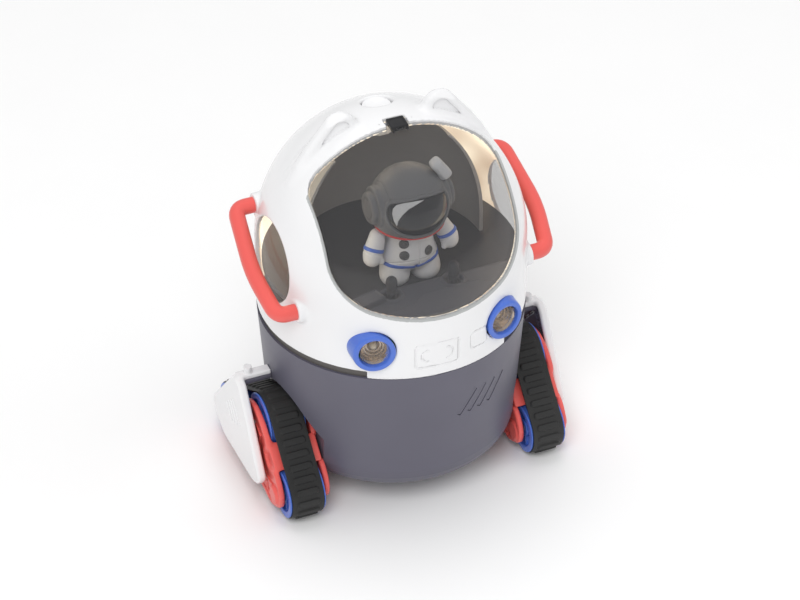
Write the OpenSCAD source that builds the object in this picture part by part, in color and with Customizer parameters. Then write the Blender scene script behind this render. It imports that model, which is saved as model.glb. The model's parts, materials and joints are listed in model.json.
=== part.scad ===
// Capsule robot on two triangular rubber tracks, with an astronaut in a cabin behind a
// hinged canopy. The origin is on the ground, on the capsule's vertical axis. The front
// faces -Y. "Left" is the -X side. Each right-hand part is its left-hand part mirrored.

/* [Capsule] */
// Radius of the capsule at the seam between hull and dome
body_r = 70; // [69.8:0.1:70.4]
// Height of the seam above the ground
seam_z = 92; // [91.8:0.1:92.2]
// Height at which the dome's straight wall ends
dome_z = 133; // [132.8:0.1:133.2]
// Rise of the dome above its straight wall
dome_h = 73; // [72.8:0.1:73.4]
// Wall thickness of hull and dome
wall = 3; // [2.8:0.1:3.1]
// Height of the dark gap between hull and dome
reveal_h = 4.2; // [3.6:0.1:4.6]
// Half angle of the front tab that bridges the gap
tab_angle = 33; // [28:1:38]

/* [Canopy] */
// Half width of the window
window_half_w = 50.8; // [50.4:0.1:51.2]
// Lowest point of the window opening
window_low_z = 127.5; // [127.3:0.1:128]
// Clear gap around the canopy and the portholes
panel_gap = 0.4; // [0.3:0.05:0.5]
// Radius of the side portholes
porthole_r = 22.3; // [21.5:0.1:22.6]

/* [Tracks] */
// Distance between the front and rear wheel centres
wheel_base = 78; // [77:0.5:79]
// Height of the top wheel's centre above the lower ones
top_rise = 27; // [26.6:0.1:27.2]
// Radius of the belt over its ribs, round the lower wheels
belt_r = 15; // [14.9:0.1:15.2]
// How much larger the top wheel's radius is
top_extra_r = 2; // [1.6:0.1:2.1]
// Width of the belt
belt_w = 17.6; // [17.2:0.1:17.6]
// Number of ribs around each belt
rib_count = 40; // [32:2:44]
// Radius of the wheel axles
axle_r = 2; // [1.8:0.1:2.2]

/* [Handles and lamps] */
// Radius of the handle tube
handle_r = 4.2; // [3.8:0.1:4.4]
// Outer radius of the lamp bezel
bezel_r = 10.9; // [10.5:0.1:11.2]
// Outward turn of each lamp
lamp_turn = 15; // [13:1:17]

/* [Cabin] */
// Height of the cabin floor
floor_z = 122; // [121.8:0.1:122.2]
// Height of the console top
console_z = 126; // [125.8:0.1:126.2]
// Radius of the astronaut's helmet
helmet_r = 22.5; // [22:0.1:22.6]

/* [Hidden] */

$fn = 96;
eps = 0.01;
far = 200;
running_gap = 0.05;
axle_bore_r = axle_r + running_gap;

// Capsule profile
dome_steps = 16;
keel_r = 66;
keel_z = 36;
keel_h = 28;
keel_power = 3.5;
keel_steps = 12;
skirt_z = seam_z + reveal_h;
window_edge_y = -9;
window_arch_r = 116;
window_corner_r = 24;
panel_t = 2.6;
porthole_y = -1.5;
porthole_z = 136;
hinge_y = -6;
hinge_z = dome_z + dome_h - 1.8;
hinge_pin_r = 1;
lug_half_w = 5.5;
lug_r = 1.5;

// Top button and its well
button_y = 18;
button_r = 7.6;
well_r = 8;
well_floor_z = 190;
button_top_z = 200.6;
button_t = 4;
dish_r = 6.4;
dish_depth = 1;
stem_r = 3;

// Ears
ear_x = 27;
ear_tip_z = 203;
ear_tip_r = 9;
ear_front_y = -1.5;
ear_back_y = 11;

// Lamps
lamp_x = 35.3;
lamp_y = -62.6;
lamp_z = 110.4;
lamp_proud = 1.8;
lamp_depth = 12;
lens_r = 8.1;

// Handles, as points on the tube's centre line, for the right side
handle_points = [[62, -30, 122], [74.5, -30, 122], [78.5, -7, 134.5], [74.5, 27, 151],
    [61.5, 27, 151]];
boss_r = 6.2;
boss_x = 64.6;

// Tracks, for the right side. Each wheel stop is its centre (y, z) and the belt's radius there
low_z = belt_r;
top_y = -11;
top_z = belt_r + top_rise;
front_stop = [-wheel_base / 2, low_z, belt_r];
rear_stop = [wheel_base / 2, low_z, belt_r];
top_stop = [top_y, top_z, belt_r + top_extra_r];
stops = [front_stop, rear_stop, top_stop];
belt_x = 59.7;
rib_h = 1;
belt_t = 1;
rib_w = 13;
rib_share = 0.62;
rib_start = 0.2;
rim_gap = 0.3;
flange_h = 0.7;
flange_t = 0.8;
web_t = 8;
rim_t = 2;
hub_t = 3;
wheel_x = belt_x - 1;
wheel_w = belt_w + 2;
pocket_x = 54;
pocket_gap = 3.5;
pocket_wall = 2.4;
plate_t = 3;
outer_plate_x = wheel_x + wheel_w + 0.7;
lobe_r = 7;
arm_w = 8;
tie_z = 17;
tie_r = 2.2;
front_tie = [-31, 32.5];
front_tie_r = 4.6;

// Legs, for the right side, as (y, z) outlines
leg_outline = [[-6, 64], [-3, 66], [3, 65], [35, 30], [36, 26], [32, 20], [21, 13],
    [-22, 13], [-29, 16], [-32, 21]];
leg_top_z = 66;
leg_x = 88;
arm_x = 83.4;
arm_t = 2;
bridge_y = [-1, 4.5];
bridge_x = 55;
bridge_low_z = 59.6;
bridge_skin = 3;
peg = [80, 1.75, 4];
peg_r = 2.2;
standoff_r = 4;
standoffs = [[4, 31], [14, 20]];
axle_head_r = axle_r + 1.4;
axle_head_t = 1.2;

// Drive
gear_teeth = 24;
pinion_teeth = 12;
gear_x = 46;
gear_w = 4;
pinion_angle = 50;
pinion_reach = (gear_teeth + pinion_teeth) / 2;
pinion_y = top_y + pinion_reach * cos(pinion_angle);
pinion_z = top_z + pinion_reach * sin(pinion_angle);
bracket_x = 41;
bracket_z = 30;
bracket_half_w = 17;
post = [36, 26];
post_r = 3;
motor_r = 10;
motor_l = 27;
motor_shaft_r = 1;
motor_bore_l = 5;
chassis_z = 68;
chassis_t = 2.5;
chassis_r = 60;

// Battery and electronics
battery = [40, 44, 20];
door = [56, 40];
door_gap = 0.3;
hull_floor_z = keel_z - keel_h + wall;
lip_z = hull_floor_z + 1;
lip_t = 3;
lip_x = 21;
lip_end = 32;
lip_half_w = 10;
screw_x = 24.5;
screw_r = 1.25;
screw_head_r = 2.4;
screw_head_h = 1.6;
board = [84, 64, 1.6];
board_z = 74;
switch_z = 76;

// Cabin
liner_r = 51;
liner_h = 68;
liner_t = 2;
liner_top_z = 186;
console_y = -35.5;
stick_x = 17;
stick_y = -41;
stick_r = 2.2;
stick_top_z = 137;
stick_pivot_z = 121;
stick_pin_r = 1;
stick_hole_r = 3.8;

// Astronaut
figure_y = -23;
helmet_z = 167;
helmet_low_z = 155.8;
helmet_base_t = 1.5;
helmet_t = 1.2;
visor_t = 1.4;
torso_top_z = 153;
hip_z = 132;
torso_r = 12.3;
shoulder_x = 17;
shoulder_z = 150.5;
arm_r = 4.2;
hand = [20.5, -3, 140.5];
hand_r = 5;
shoulder_peg_r = 1.5;
neck_r = 3;
foot_x = 7.6;

// Points along a circular arc
function arc_points(cx, cy, r, a0, a1, n) =
    [for (i = [0:n]) let (a = a0 + (a1 - a0) * i / n) [cx + r * cos(a), cy + r * sin(a)]];

// Half outline of the dome, set in from the outside
function dome_profile(inset, base_z) =
    concat([[0, base_z], [body_r - inset, base_z]],
        [for (i = [0:dome_steps]) let (a = 90 * i / dome_steps)
            [(body_r - inset) * cos(a), dome_z + (dome_h - inset) * sin(a)]]);

// Radius of the hull's conical wall at a height
function cone_r(z) = keel_r + (body_r - keel_r) * (z - keel_z) / (seam_z - keel_z);

// Half outline of the hull, set in from the outside
function hull_profile(inset, rim_z) =
    concat([[0, rim_z], [cone_r(rim_z) - inset, rim_z]],
        [for (i = [0:keel_steps]) let (a = 90 * i / keel_steps)
            [(keel_r - inset) * pow(cos(a), 2 / keel_power),
                keel_z - (keel_h - inset) * pow(sin(a), 2 / keel_power)]]);

// Front outline of the canopy opening, set in from its edge
function window_outline(inset) =
    let (corner_x = window_half_w - window_corner_r,
        arch_z = window_low_z + window_arch_r,
        corner_z = arch_z - sqrt(pow(window_arch_r - window_corner_r, 2) - pow(corner_x, 2)),
        meet = atan2(corner_x, arch_z - corner_z),
        r = window_corner_r - inset)
    concat([[-window_half_w + inset, far + 10]],
        arc_points(-corner_x, corner_z, r, 180, 270 - meet, 8),
        arc_points(0, arch_z, window_arch_r - inset, 270 - meet, 270 + meet, 8),
        arc_points(corner_x, corner_z, r, 270 + meet, 360, 8),
        [[window_half_w - inset, far + 10]]);

// Normal angle of the belt's straight run that leaves wheel stop i
function run_angle(i) =
    let (from = stops[i], to = stops[(i + 1) % 3], step = to - from)
    atan2(step[1], step[0]) - acos(-step[2] / norm([step[0], step[1]]));

// Angle that the belt turns through round wheel stop i, and its length there
function turn_sweep(i) = (run_angle(i) - run_angle((i + 2) % 3) + 720) % 360;
function turn_length(i) = stops[i][2] * turn_sweep(i) * PI / 180;

// Length of the straight run that leaves wheel stop i
function run_length(i) =
    let (step = stops[(i + 1) % 3] - stops[i])
    sqrt(pow(step[0], 2) + pow(step[1], 2) - pow(step[2], 2));

// Length of the whole belt over its ribs
loop_total = turn_length(0) + turn_length(1) + turn_length(2)
    + run_length(0) + run_length(1) + run_length(2);

// Rounded triangle around the three wheels, grown out from the belt's outer face
function loop_outline(grow) =
    [for (i = [0:2]) let (a0 = run_angle((i + 2) % 3))
        each arc_points(stops[i][0], stops[i][1], stops[i][2] + grow, a0, a0 + turn_sweep(i), 14)];

// Point at distance s along the belt from the start of stop i's turn, at height h over its face
function loop_at(s, h, i = 0) =
    let (centre = [stops[i][0], stops[i][1]], r = stops[i][2], n = run_angle(i),
        a = run_angle((i + 2) % 3) + s / r * 180 / PI, past = s - turn_length(i))
    past < 0 ? centre + (r + h) * [cos(a), sin(a)] :
    past < run_length(i) || i == 2 ? centre + (r + h) * [cos(n), sin(n)] + past * [-sin(n), cos(n)] :
    loop_at(past - run_length(i), h, i + 1);

// Toothed outline with straight-sided teeth, module 1
function gear_outline(teeth, turn) =
    let (tip = teeth / 2 + 0.85, root = teeth / 2 - 1.15, pitch = 360 / teeth)
    [for (i = [0:teeth - 1]) for (p = [[root, -0.36], [tip, -0.1], [tip, 0.1], [root, 0.36]])
        p[0] * [cos(turn + pitch * (i + p[1])), sin(turn + pitch * (i + p[1]))]];

// Puts right-hand geometry on the side s, +1 right or -1 left
module on_side(s) mirror([s < 0 ? 1 : 0, 0, 0]) children();

// Extrudes a (y, z) outline along X
module along_x(x, length) translate([x, 0, 0]) rotate([90, 0, 90]) linear_extrude(length) children();

// Round bar along X, at y and z
module x_rod(x, length, y, z, r) translate([x, y, z]) rotate([0, 90, 0]) cylinder(r = r, h = length);

// Extrudes an (x, z) outline towards -Y from y
module along_front(y, length) translate([0, y, 0]) rotate([90, 0, 0]) linear_extrude(length) children();

// Round bar between two points, with a ball at its start
module strut(from, to, r) {
    run = to - from;
    translate(from) {
        sphere(r = r);
        rotate([0, acos(run[2] / norm(run)), atan2(run[1], run[0])]) cylinder(r = r, h = norm(run));
    }
}

// Solid inside the dome's surface, from base_z up
module dome_solid(inset, base_z) rotate_extrude() polygon(dome_profile(inset, base_z));

// Solid inside the hull's surface, up to rim_z
module hull_solid(inset, rim_z) rotate_extrude() polygon(hull_profile(inset, rim_z));

// Wedge at the front between plus and minus an angle
module front_wedge(angle, z, height) {
    reach = 100;
    translate([0, 0, z]) linear_extrude(height)
        polygon([[0, 0], [-reach * sin(angle), -reach * cos(angle)], [0, -reach * 1.2],
            [reach * sin(angle), -reach * cos(angle)]]);
}

// Pocket in the hull's side that clears the track
module wheel_pocket(grow) for (s = [-1, 1]) on_side(s)
    along_x(pocket_x - grow, far) polygon(loop_outline(pocket_gap + grow));

// Places lamp parts: local origin at the bezel's front face, local +Z into the dome
module at_lamp(s) on_side(s)
    translate([lamp_x, lamp_y, lamp_z]) rotate([0, 0, lamp_turn]) translate([0, -lamp_proud, 0])
        rotate([-90, 0, 0]) children();

module hull_shell() color([0.37, 0.36, 0.42]) {
    slot_pitch = 6.2;
    switch_slot = [11, 30, 4.6];
    difference() {
        hull_solid(0, seam_z);
        wheel_pocket(0);
        difference() {
            hull_solid(wall, seam_z + 1);
            wheel_pocket(pocket_wall);
        }
        // battery door opening
        cube([door[0], door[1], 40], center = true);
        // sound slots, slanting, on the front right
        for (i = [0:3]) translate([14 + slot_pitch * i, -body_r, 67]) rotate([0, 35, 0])
            cube([2.4, 40, 17], center = true);
        // power switch slot at the back
        translate([0, body_r, switch_z]) cube(switch_slot, center = true);
        // drive shaft holes through the pocket walls
        for (s = [-1, 1]) on_side(s) x_rod(pocket_x - 10, 20, top_y, top_z, axle_bore_r);
    }
    // lips over the battery door's ends, which its screws bite into
    for (s = [-1, 1]) on_side(s) difference() {
        union() {
            translate([lip_x, -lip_half_w, lip_z]) cube([lip_end - lip_x, 2 * lip_half_w, lip_t]);
            translate([door[0] / 2 + door_gap, -lip_half_w, lip_z - lip_t + 0.8])
                cube([lip_end - door[0] / 2 - door_gap, 2 * lip_half_w, lip_t]);
        }
        translate([screw_x, 0, lip_z - 1]) cylinder(r = screw_r, h = lip_t + 2);
    }
}

module chassis() color("dimgray") {
    difference() {
        translate([0, 0, chassis_z]) cylinder(r = chassis_r, h = chassis_t);
        translate([0, 36, chassis_z - 1]) cylinder(r = 9, h = 10);
    }
    for (s = [-1, 1]) on_side(s) difference() {
        translate([bracket_x, -bracket_half_w, bracket_z])
            cube([plate_t, 2 * bracket_half_w, chassis_z - bracket_z]);
        x_rod(bracket_x - 1, 10, top_y, top_z, axle_bore_r);
        x_rod(bracket_x - 1, 10, pinion_y, pinion_z, 3 * motor_shaft_r);
    }
    // posts that carry the circuit board
    for (x = [-1, 1]) for (y = [-1, 1]) translate([x * post[0], y * post[1], chassis_z + chassis_t])
        cylinder(r = post_r, h = board_z - chassis_z - chassis_t);
}

module seam_ring() color([0.3, 0.29, 0.28]) {
    sleeve_r = 66.5;
    band_r = 68.6;
    difference() {
        union() {
            translate([0, 0, seam_z - 4]) cylinder(r = sleeve_r, h = reveal_h + 8);
            difference() {
                translate([0, 0, seam_z]) cylinder(r = band_r, h = reveal_h);
                front_wedge(tab_angle + 0.3, seam_z - 1, 10);
            }
        }
        translate([0, 0, seam_z - 5]) cylinder(r = sleeve_r - 2.2, h = 20);
        for (s = [-1, 1]) at_lamp(s) translate([0, 0, -5]) cylinder(r = bezel_r + 0.3, h = 40);
    }
}

// One ear, as an upright plate that grows out of the dome
module ear() along_front(ear_back_y, ear_back_y - ear_front_y)
    polygon(concat([[53.6, 177.8], [44, 174], [13, 194], [17.6, 201.5]],
        arc_points(ear_x, ear_tip_z, ear_tip_r, 165, 30, 12), [[45.7, 194.1]]));

module dome_shell() color("white") difference() {
    union() {
        difference() {
            union() {
                dome_solid(0, skirt_z);
                intersection() {
                    translate([0, 0, seam_z]) cylinder(r = body_r, h = reveal_h + 1);
                    front_wedge(tab_angle, seam_z - 1, reveal_h + 3);
                }
                for (s = [-1, 1]) on_side(s) {
                    ear();
                    for (end = [handle_points[0], handle_points[4]])
                        x_rod(55, boss_x - 55, end[1], end[2], boss_r);
                }
            }
            dome_solid(wall, seam_z - 1);
        }
        // cup under the top button
        intersection() {
            translate([0, button_y, well_floor_z - 2]) cylinder(r = well_r + 2, h = 30);
            dome_solid(0, skirt_z);
        }
    }
    translate([0, button_y, well_floor_z]) cylinder(r = well_r, h = 30);
    translate([0, button_y, well_floor_z - 5]) cylinder(r = stem_r + 0.1, h = 10);
    along_front(window_edge_y, 80) polygon(window_outline(0));
    // hinge slot and the pin's seat
    translate([-lug_half_w - 0.4, window_edge_y - 1, hinge_z - 10])
        cube([2 * lug_half_w + 0.8, hinge_y - window_edge_y + 3, 20]);
    x_rod(-9, 18, hinge_y, hinge_z, hinge_pin_r);
    for (s = [-1, 1]) {
        on_side(s) x_rod(40, 60, porthole_y, porthole_z, porthole_r);
        on_side(s) for (end = [handle_points[0], handle_points[4]])
            x_rod(end[0], 30, end[1], end[2], handle_r);
        at_lamp(s) translate([0, 0, -5]) cylinder(r = bezel_r, h = 40);
    }
}

module canopy_window() color([0.2, 0.2, 0.22, 0.5]) {
    difference() {
        union() {
            intersection() {
                difference() {
                    dome_solid(0.2, skirt_z);
                    dome_solid(0.2 + panel_t, seam_z);
                }
                along_front(window_edge_y - panel_gap, 80) polygon(window_outline(panel_gap));
            }
            translate([-lug_half_w, window_edge_y - 2, hinge_z - lug_r])
                cube([2 * lug_half_w, hinge_y - window_edge_y + 2, 2 * lug_r]);
            x_rod(-lug_half_w, 2 * lug_half_w, hinge_y, hinge_z, lug_r);
        }
        x_rod(-10, 20, hinge_y, hinge_z, hinge_pin_r + running_gap);
    }
}

module canopy_hinge_pin() color("silver") x_rod(-9, 18, hinge_y, hinge_z, hinge_pin_r);

module porthole(s) color([0.55, 0.5, 0.45, 0.5]) intersection() {
    difference() {
        dome_solid(0.3, skirt_z);
        dome_solid(0.3 + panel_t, seam_z);
    }
    on_side(s) x_rod(40, 60, porthole_y, porthole_z, porthole_r - 0.1);
}

module handle(s) color([0.95, 0.33, 0.3]) on_side(s) {
    for (i = [1:3]) strut(handle_points[i], handle_points[i + 1], handle_r);
    x_rod(handle_points[0][0], handle_points[1][0] - handle_points[0][0],
        handle_points[0][1], handle_points[0][2], handle_r);
}

module lamp_bezel(s) color([0.16, 0.34, 0.8]) at_lamp(s) difference() {
    cylinder(r = bezel_r, h = lamp_depth);
    translate([0, 0, -1]) cylinder(r = lens_r, h = 3.5);
    cylinder(r = lens_r - 0.8, h = lamp_depth + 1);
}

module lamp_lens(s) color([0.8, 0.75, 0.7, 0.4]) at_lamp(s)
    translate([0, 0, 0.8]) cylinder(r = lens_r, h = 1.7);

module lamp_reflector(s) color("silver") at_lamp(s) translate([0, 0, 2.5]) difference() {
    cylinder(r = lens_r - 0.8, h = lamp_depth - 2.5);
    translate([0, 0, -eps]) cylinder(r1 = lens_r - 1.6, r2 = 2.4, h = lamp_depth - 4.5);
    cylinder(r = 2.4, h = lamp_depth);
}

module lamp_leds() color("lightyellow") for (s = [-1, 1]) at_lamp(s) translate([0, 0, 6]) {
    cylinder(r = 1.8, h = lamp_depth - 4);
    translate([0, 0, 0.4]) sphere(r = 1.8);
}

module top_button() color("white") translate([0, button_y, 0]) {
    difference() {
        translate([0, 0, button_top_z - button_t]) cylinder(r = button_r, h = button_t);
        // shallow dish for a fingertip
        translate([0, 0, button_top_z - dish_depth])
            cylinder(r1 = dish_r - 2, r2 = dish_r, h = dish_depth + eps);
    }
    translate([0, 0, well_floor_z - 6])
        cylinder(r = stem_r, h = button_top_z - button_t - well_floor_z + 7);
}

module cabin_floor() color([0.2, 0.2, 0.23]) difference() {
    translate([0, 0, floor_z - 3]) cylinder(r = 66.6, h = 3);
    translate([-far / 2, console_y - far, floor_z - 4]) cube([far, far, 5]);
}

module cabin_liner() color([0.24, 0.24, 0.27]) difference() {
    rotate_extrude() polygon(concat([[liner_r - liner_t, floor_z], [liner_r, floor_z]],
        [for (i = [0:10]) let (a = asin((liner_top_z - dome_z) / liner_h) * i / 10)
            [liner_r * cos(a), dome_z + liner_h * sin(a)]],
        [for (i = [10:-1:0]) let (a = asin((liner_top_z - dome_z) / liner_h) * i / 10)
            [(liner_r - liner_t) * cos(a), dome_z + liner_h * sin(a)]]));
    translate([-far / 2, -far, 0]) cube([far, far - 2, 300]);
}

module console() color([0.24, 0.24, 0.28]) difference() {
    union() {
        translate([0, 0, console_z - 2.5]) cylinder(r = 66.6, h = 2.5);
        intersection() {
            translate([0, 0, floor_z - 3]) cylinder(r = 66.6, h = console_z - floor_z + 1);
            translate([-far / 2, console_y - 2, floor_z - 3]) cube([far, 2, 20]);
        }
        // lugs that carry the joystick pins
        for (s = [-1, 1]) for (t = [-1, 1])
            translate([s * stick_x + t * 5.2 - 1, stick_y - 3, stick_pivot_z - 3])
                cube([2, 6, console_z - stick_pivot_z + 1]);
    }
    translate([-far / 2, console_y, floor_z - 4]) cube([far, far, 20]);
    for (s = [-1, 1]) {
        translate([s * stick_x, stick_y, console_z - 5]) cylinder(r = stick_hole_r, h = 10);
        x_rod(s * stick_x - 8, 16, stick_y, stick_pivot_z, stick_pin_r + running_gap);
    }
}

module joystick(s) color([0.16, 0.16, 0.2]) translate([s * stick_x, stick_y, 0]) {
    translate([0, 0, stick_pivot_z - 2]) cylinder(r = stick_r, h = stick_top_z - stick_pivot_z);
    translate([0, 0, stick_top_z - 7]) cylinder(r = 3, h = 5);
    translate([0, 0, stick_top_z - 3]) sphere(r = 3);
    x_rod(-6.2, 12.4, 0, stick_pivot_z, stick_pin_r);
}

module astronaut_body() color([0.9, 0.9, 0.92]) translate([0, figure_y, 0]) {
    rotate_extrude() polygon([[0, hip_z], [10, hip_z], [torso_r, hip_z + 4], [torso_r, hip_z + 9],
        [10.8, hip_z + 15], [8.6, torso_top_z - 2], [7, torso_top_z], [0, torso_top_z]]);
    for (s = [-1, 1]) {
        translate([s * foot_x, 0, floor_z]) cylinder(r1 = 7.4, r2 = 6.2, h = 12);
        translate([s * foot_x, -2.6, floor_z]) cylinder(r = 6.6, h = 5);
        // shoulder peg
        x_rod(s > 0 ? 5 : -15, 10, 0, shoulder_z, shoulder_peg_r);
    }
    translate([0, 0, torso_top_z - 1]) cylinder(r = neck_r, h = 6.5);
}

module astronaut_collar() color([0.85, 0.2, 0.2]) translate([0, figure_y, 0])
    rotate_extrude() polygon([[7, torso_top_z - 0.01], [8.2, torso_top_z - 1], [10.4, torso_top_z + 0.4],
        [10, torso_top_z + 1.9], [7, torso_top_z + 1]]);

module astronaut_arm(s) color([0.9, 0.9, 0.92]) translate([0, figure_y, 0]) on_side(s) difference() {
    union() {
        strut([shoulder_x, 0, shoulder_z], hand, arm_r);
        translate(hand) sphere(r = hand_r);
    }
    x_rod(10, 5.1, 0, shoulder_z, shoulder_peg_r + running_gap);
}

// Opening of the helmet, seen from the front
module visor_prism(grow) translate([0, figure_y, 0]) along_front(0, 40)
    polygon(concat(arc_points(10, helmet_z - 1.5, 8 + grow, -90, 80, 8),
        arc_points(-10, helmet_z - 1.5, 8 + grow, 100, 270, 8)));

module astronaut_helmet() color([0.45, 0.45, 0.47]) difference() {
    union() {
        difference() {
            union() {
                translate([0, figure_y, helmet_z]) sphere(r = helmet_r);
                for (s = [-1, 1]) on_side(s) x_rod(20.2, 5, figure_y + 1, helmet_z - 1, 8);
            }
            translate([0, figure_y, helmet_z]) sphere(r = helmet_r - helmet_t);
            visor_prism(0);
        }
        // base plate that turns on the neck
        intersection() {
            translate([0, figure_y, helmet_z]) sphere(r = helmet_r - helmet_t / 2);
            translate([0, figure_y, helmet_low_z]) cylinder(r = helmet_r, h = helmet_base_t);
        }
    }
    translate([0, figure_y, helmet_low_z - 30]) cylinder(r = helmet_r, h = 30);
    translate([0, figure_y, helmet_low_z - 1]) cylinder(r = neck_r + running_gap, h = helmet_base_t + 2);
}

module helmet_visor() color([0.06, 0.06, 0.07]) intersection() {
    translate([0, figure_y, helmet_z]) difference() {
        sphere(r = helmet_r - helmet_t);
        sphere(r = helmet_r - helmet_t - visor_t);
    }
    visor_prism(1.5);
    translate([0, figure_y, helmet_low_z + helmet_base_t]) cylinder(r = helmet_r, h = 30);
}

module helmet_camera() color([0.75, 0.75, 0.77]) difference() {
    translate([0, figure_y, helmet_z]) rotate([0, 54, 0]) translate([0, 1, 0])
        translate([-6.5, -4, helmet_r - 3]) cube([13, 8, 8.5]);
    translate([0, figure_y, helmet_z]) sphere(r = helmet_r);
}

module track_belt(s) color([0.16, 0.16, 0.16]) on_side(s) difference() {
    union() {
        along_x(belt_x, belt_w) polygon(loop_outline(-rib_h));
        along_x(belt_x + (belt_w - rib_w) / 2, rib_w)
            polygon([for (i = [0:rib_count - 1])
                for (p = [[0, -1.2 * rib_h], [0, 0], [rib_share, 0], [rib_share, -1.2 * rib_h]])
                    loop_at((i + rib_start + p[0]) * loop_total / rib_count, p[1])]);
    }
    along_x(belt_x - 1, belt_w + 2) polygon(loop_outline(-rib_h - belt_t));
}

// Flanged wheel at a wheel stop, with a bore of the given radius
module track_wheel(s, stop, bore_r) color([0.16, 0.34, 0.8]) on_side(s) {
    y = stop[0];
    z = stop[1];
    r = stop[2] - rib_h - belt_t - rim_gap;
    hole_ring_r = (r - rim_t + axle_r + hub_t) / 2;
    difference() {
        union() {
            x_rod(wheel_x, wheel_w, y, z, r);
            for (x = [wheel_x, wheel_x + wheel_w - flange_t])
                x_rod(x, flange_t, y, z, r + flange_h);
        }
        // dished faces, with a web between them
        for (x = [wheel_x - 1, wheel_x + (wheel_w + web_t) / 2])
            difference() {
                x_rod(x, (wheel_w - web_t) / 2 + 1, y, z, r - rim_t);
                x_rod(x - 1, wheel_w, y, z, axle_r + hub_t);
            }
        for (a = [0:72:359])
            x_rod(wheel_x - 1, wheel_w + 2, y + hole_ring_r * cos(a), z + hole_ring_r * sin(a), 1.9);
        x_rod(wheel_x - 1, wheel_w + 2, y, z, bore_r);
    }
}

module drive_shaft(s) color("silver") on_side(s) {
    x_rod(bracket_x, outer_plate_x + plate_t - bracket_x, top_y, top_z, axle_r);
    difference() {
        along_x(gear_x, gear_w) translate([top_y, top_z])
            polygon(gear_outline(gear_teeth, pinion_angle));
        x_rod(gear_x - 1, gear_w + 2, top_y, top_z, axle_r - 0.5);
    }
}

module axles(s) color("silver") on_side(s) for (stop = [front_stop, rear_stop]) {
    x_rod(pocket_x, outer_plate_x + plate_t - pocket_x, stop[0], stop[1], axle_r);
    x_rod(outer_plate_x + plate_t, axle_head_t, stop[0], stop[1], axle_head_r);
}

// Side plate of the track frame, starting at x
module frame_plate(x) difference() {
    union() {
        for (stop = stops) x_rod(x, plate_t, stop[0], stop[1], lobe_r);
        for (i = [0:2]) {
            run = stops[(i + 1) % 3] - stops[i];
            along_x(x, plate_t) translate([stops[i][0], stops[i][1]]) rotate(atan2(run[1], run[0]))
                translate([0, -arm_w / 2]) square([norm([run[0], run[1]]), arm_w]);
        }
        along_x(x, plate_t) polygon([for (stop = stops) [stop[0], stop[1]]]);
    }
    for (stop = [front_stop, rear_stop]) x_rod(x - 1, plate_t + 2, stop[0], stop[1], axle_r);
    x_rod(x - 1, plate_t + 2, top_y, top_z, axle_bore_r);
}

module outer_frame(s) color([0.95, 0.33, 0.3]) on_side(s) {
    frame_plate(outer_plate_x);
    for (p = standoffs)
        x_rod(outer_plate_x, arm_x - outer_plate_x, p[0], p[1], standoff_r);
}

module inner_frame(s) color([0.95, 0.33, 0.3]) on_side(s) {
    frame_plate(pocket_x);
    x_rod(pocket_x, outer_plate_x - pocket_x, 0, tie_z, tie_r);
    x_rod(pocket_x, outer_plate_x - pocket_x, front_tie[0], front_tie[1], front_tie_r);
    x_rod(pocket_x, plate_t, 0, tie_z, tie_r + 2);
}

// Block that bridges the track from the hull to the leg, between two heights
module leg_bridge(z0, z1, x_end) difference() {
    translate([bridge_x, bridge_y[0], z0])
        cube([x_end - bridge_x, bridge_y[1] - bridge_y[0], z1 - z0]);
    hull_solid(0, seam_z);
}

module leg_cover(s) color("white") on_side(s) {
    along_x(arm_x + arm_t, leg_x - arm_x - arm_t) polygon(leg_outline);
    leg_bridge(leg_top_z - bridge_skin, leg_top_z, arm_x + arm_t);
    translate([peg[0], peg[1], leg_top_z - 1]) cylinder(r = peg_r, h = peg[2] + 1);
}

module leg_arm(s) color([0.3, 0.3, 0.35]) on_side(s) {
    difference() {
        along_x(arm_x, arm_t) polygon(leg_outline);
        translate([arm_x - 1, -20, leg_top_z - bridge_skin]) cube([arm_t + 2, 60, 10]);
        for (stop = [front_stop, rear_stop])
            x_rod(arm_x - 1, arm_t + 2, stop[0], stop[1], axle_head_r + 1.6);
    }
    leg_bridge(bridge_low_z, leg_top_z - bridge_skin, arm_x);
}

module motor(s) color("silver") on_side(s) difference() {
    x_rod(bracket_x - motor_l, motor_l, pinion_y, pinion_z, motor_r);
    x_rod(bracket_x - motor_bore_l, 10, pinion_y, pinion_z, motor_shaft_r + running_gap);
}

module motor_pinion(s) color("gold") on_side(s) {
    x_rod(bracket_x - motor_bore_l + 0.5, gear_x + gear_w - bracket_x + motor_bore_l,
        pinion_y, pinion_z, motor_shaft_r);
    along_x(gear_x, gear_w) translate([pinion_y, pinion_z])
        polygon(gear_outline(pinion_teeth, pinion_angle + 180 + 180 / pinion_teeth));
}

module battery_pack() color("darkblue")
    translate([-battery[0] / 2, -battery[1] / 2, hull_floor_z + 1])
        cube(battery);

module battery_door() color([0.3, 0.29, 0.35]) difference() {
    intersection() {
        hull_solid(0, seam_z);
        cube([door[0] - 2 * door_gap, door[1] - 2 * door_gap, 60], center = true);
    }
    hull_solid(wall, seam_z + 1);
    for (s = [-1, 1]) translate([s * screw_x, 0, 0]) {
        cylinder(r = screw_r + 0.1, h = 30);
        cylinder(r = screw_head_r + 0.1, h = hull_floor_z - 1);
    }
}

module door_screws() color("silver") for (s = [-1, 1])
    translate([s * screw_x, 0, hull_floor_z - 1 - screw_head_h]) {
        cylinder(r = screw_head_r, h = screw_head_h);
        cylinder(r = screw_r, h = lip_z + lip_t - hull_floor_z + 1 + screw_head_h);
    }

module circuit_board() color("green") {
    difference() {
        translate([-board[0] / 2, -board[1] / 2, board_z]) cube(board);
        translate([0, 0, board_z - 1]) cylinder(r = 6, h = 4);
    }
    for (x = [-24, 8]) translate([x, -20, board_z + board[2]]) cube([16, 12, 2]);
}

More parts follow.
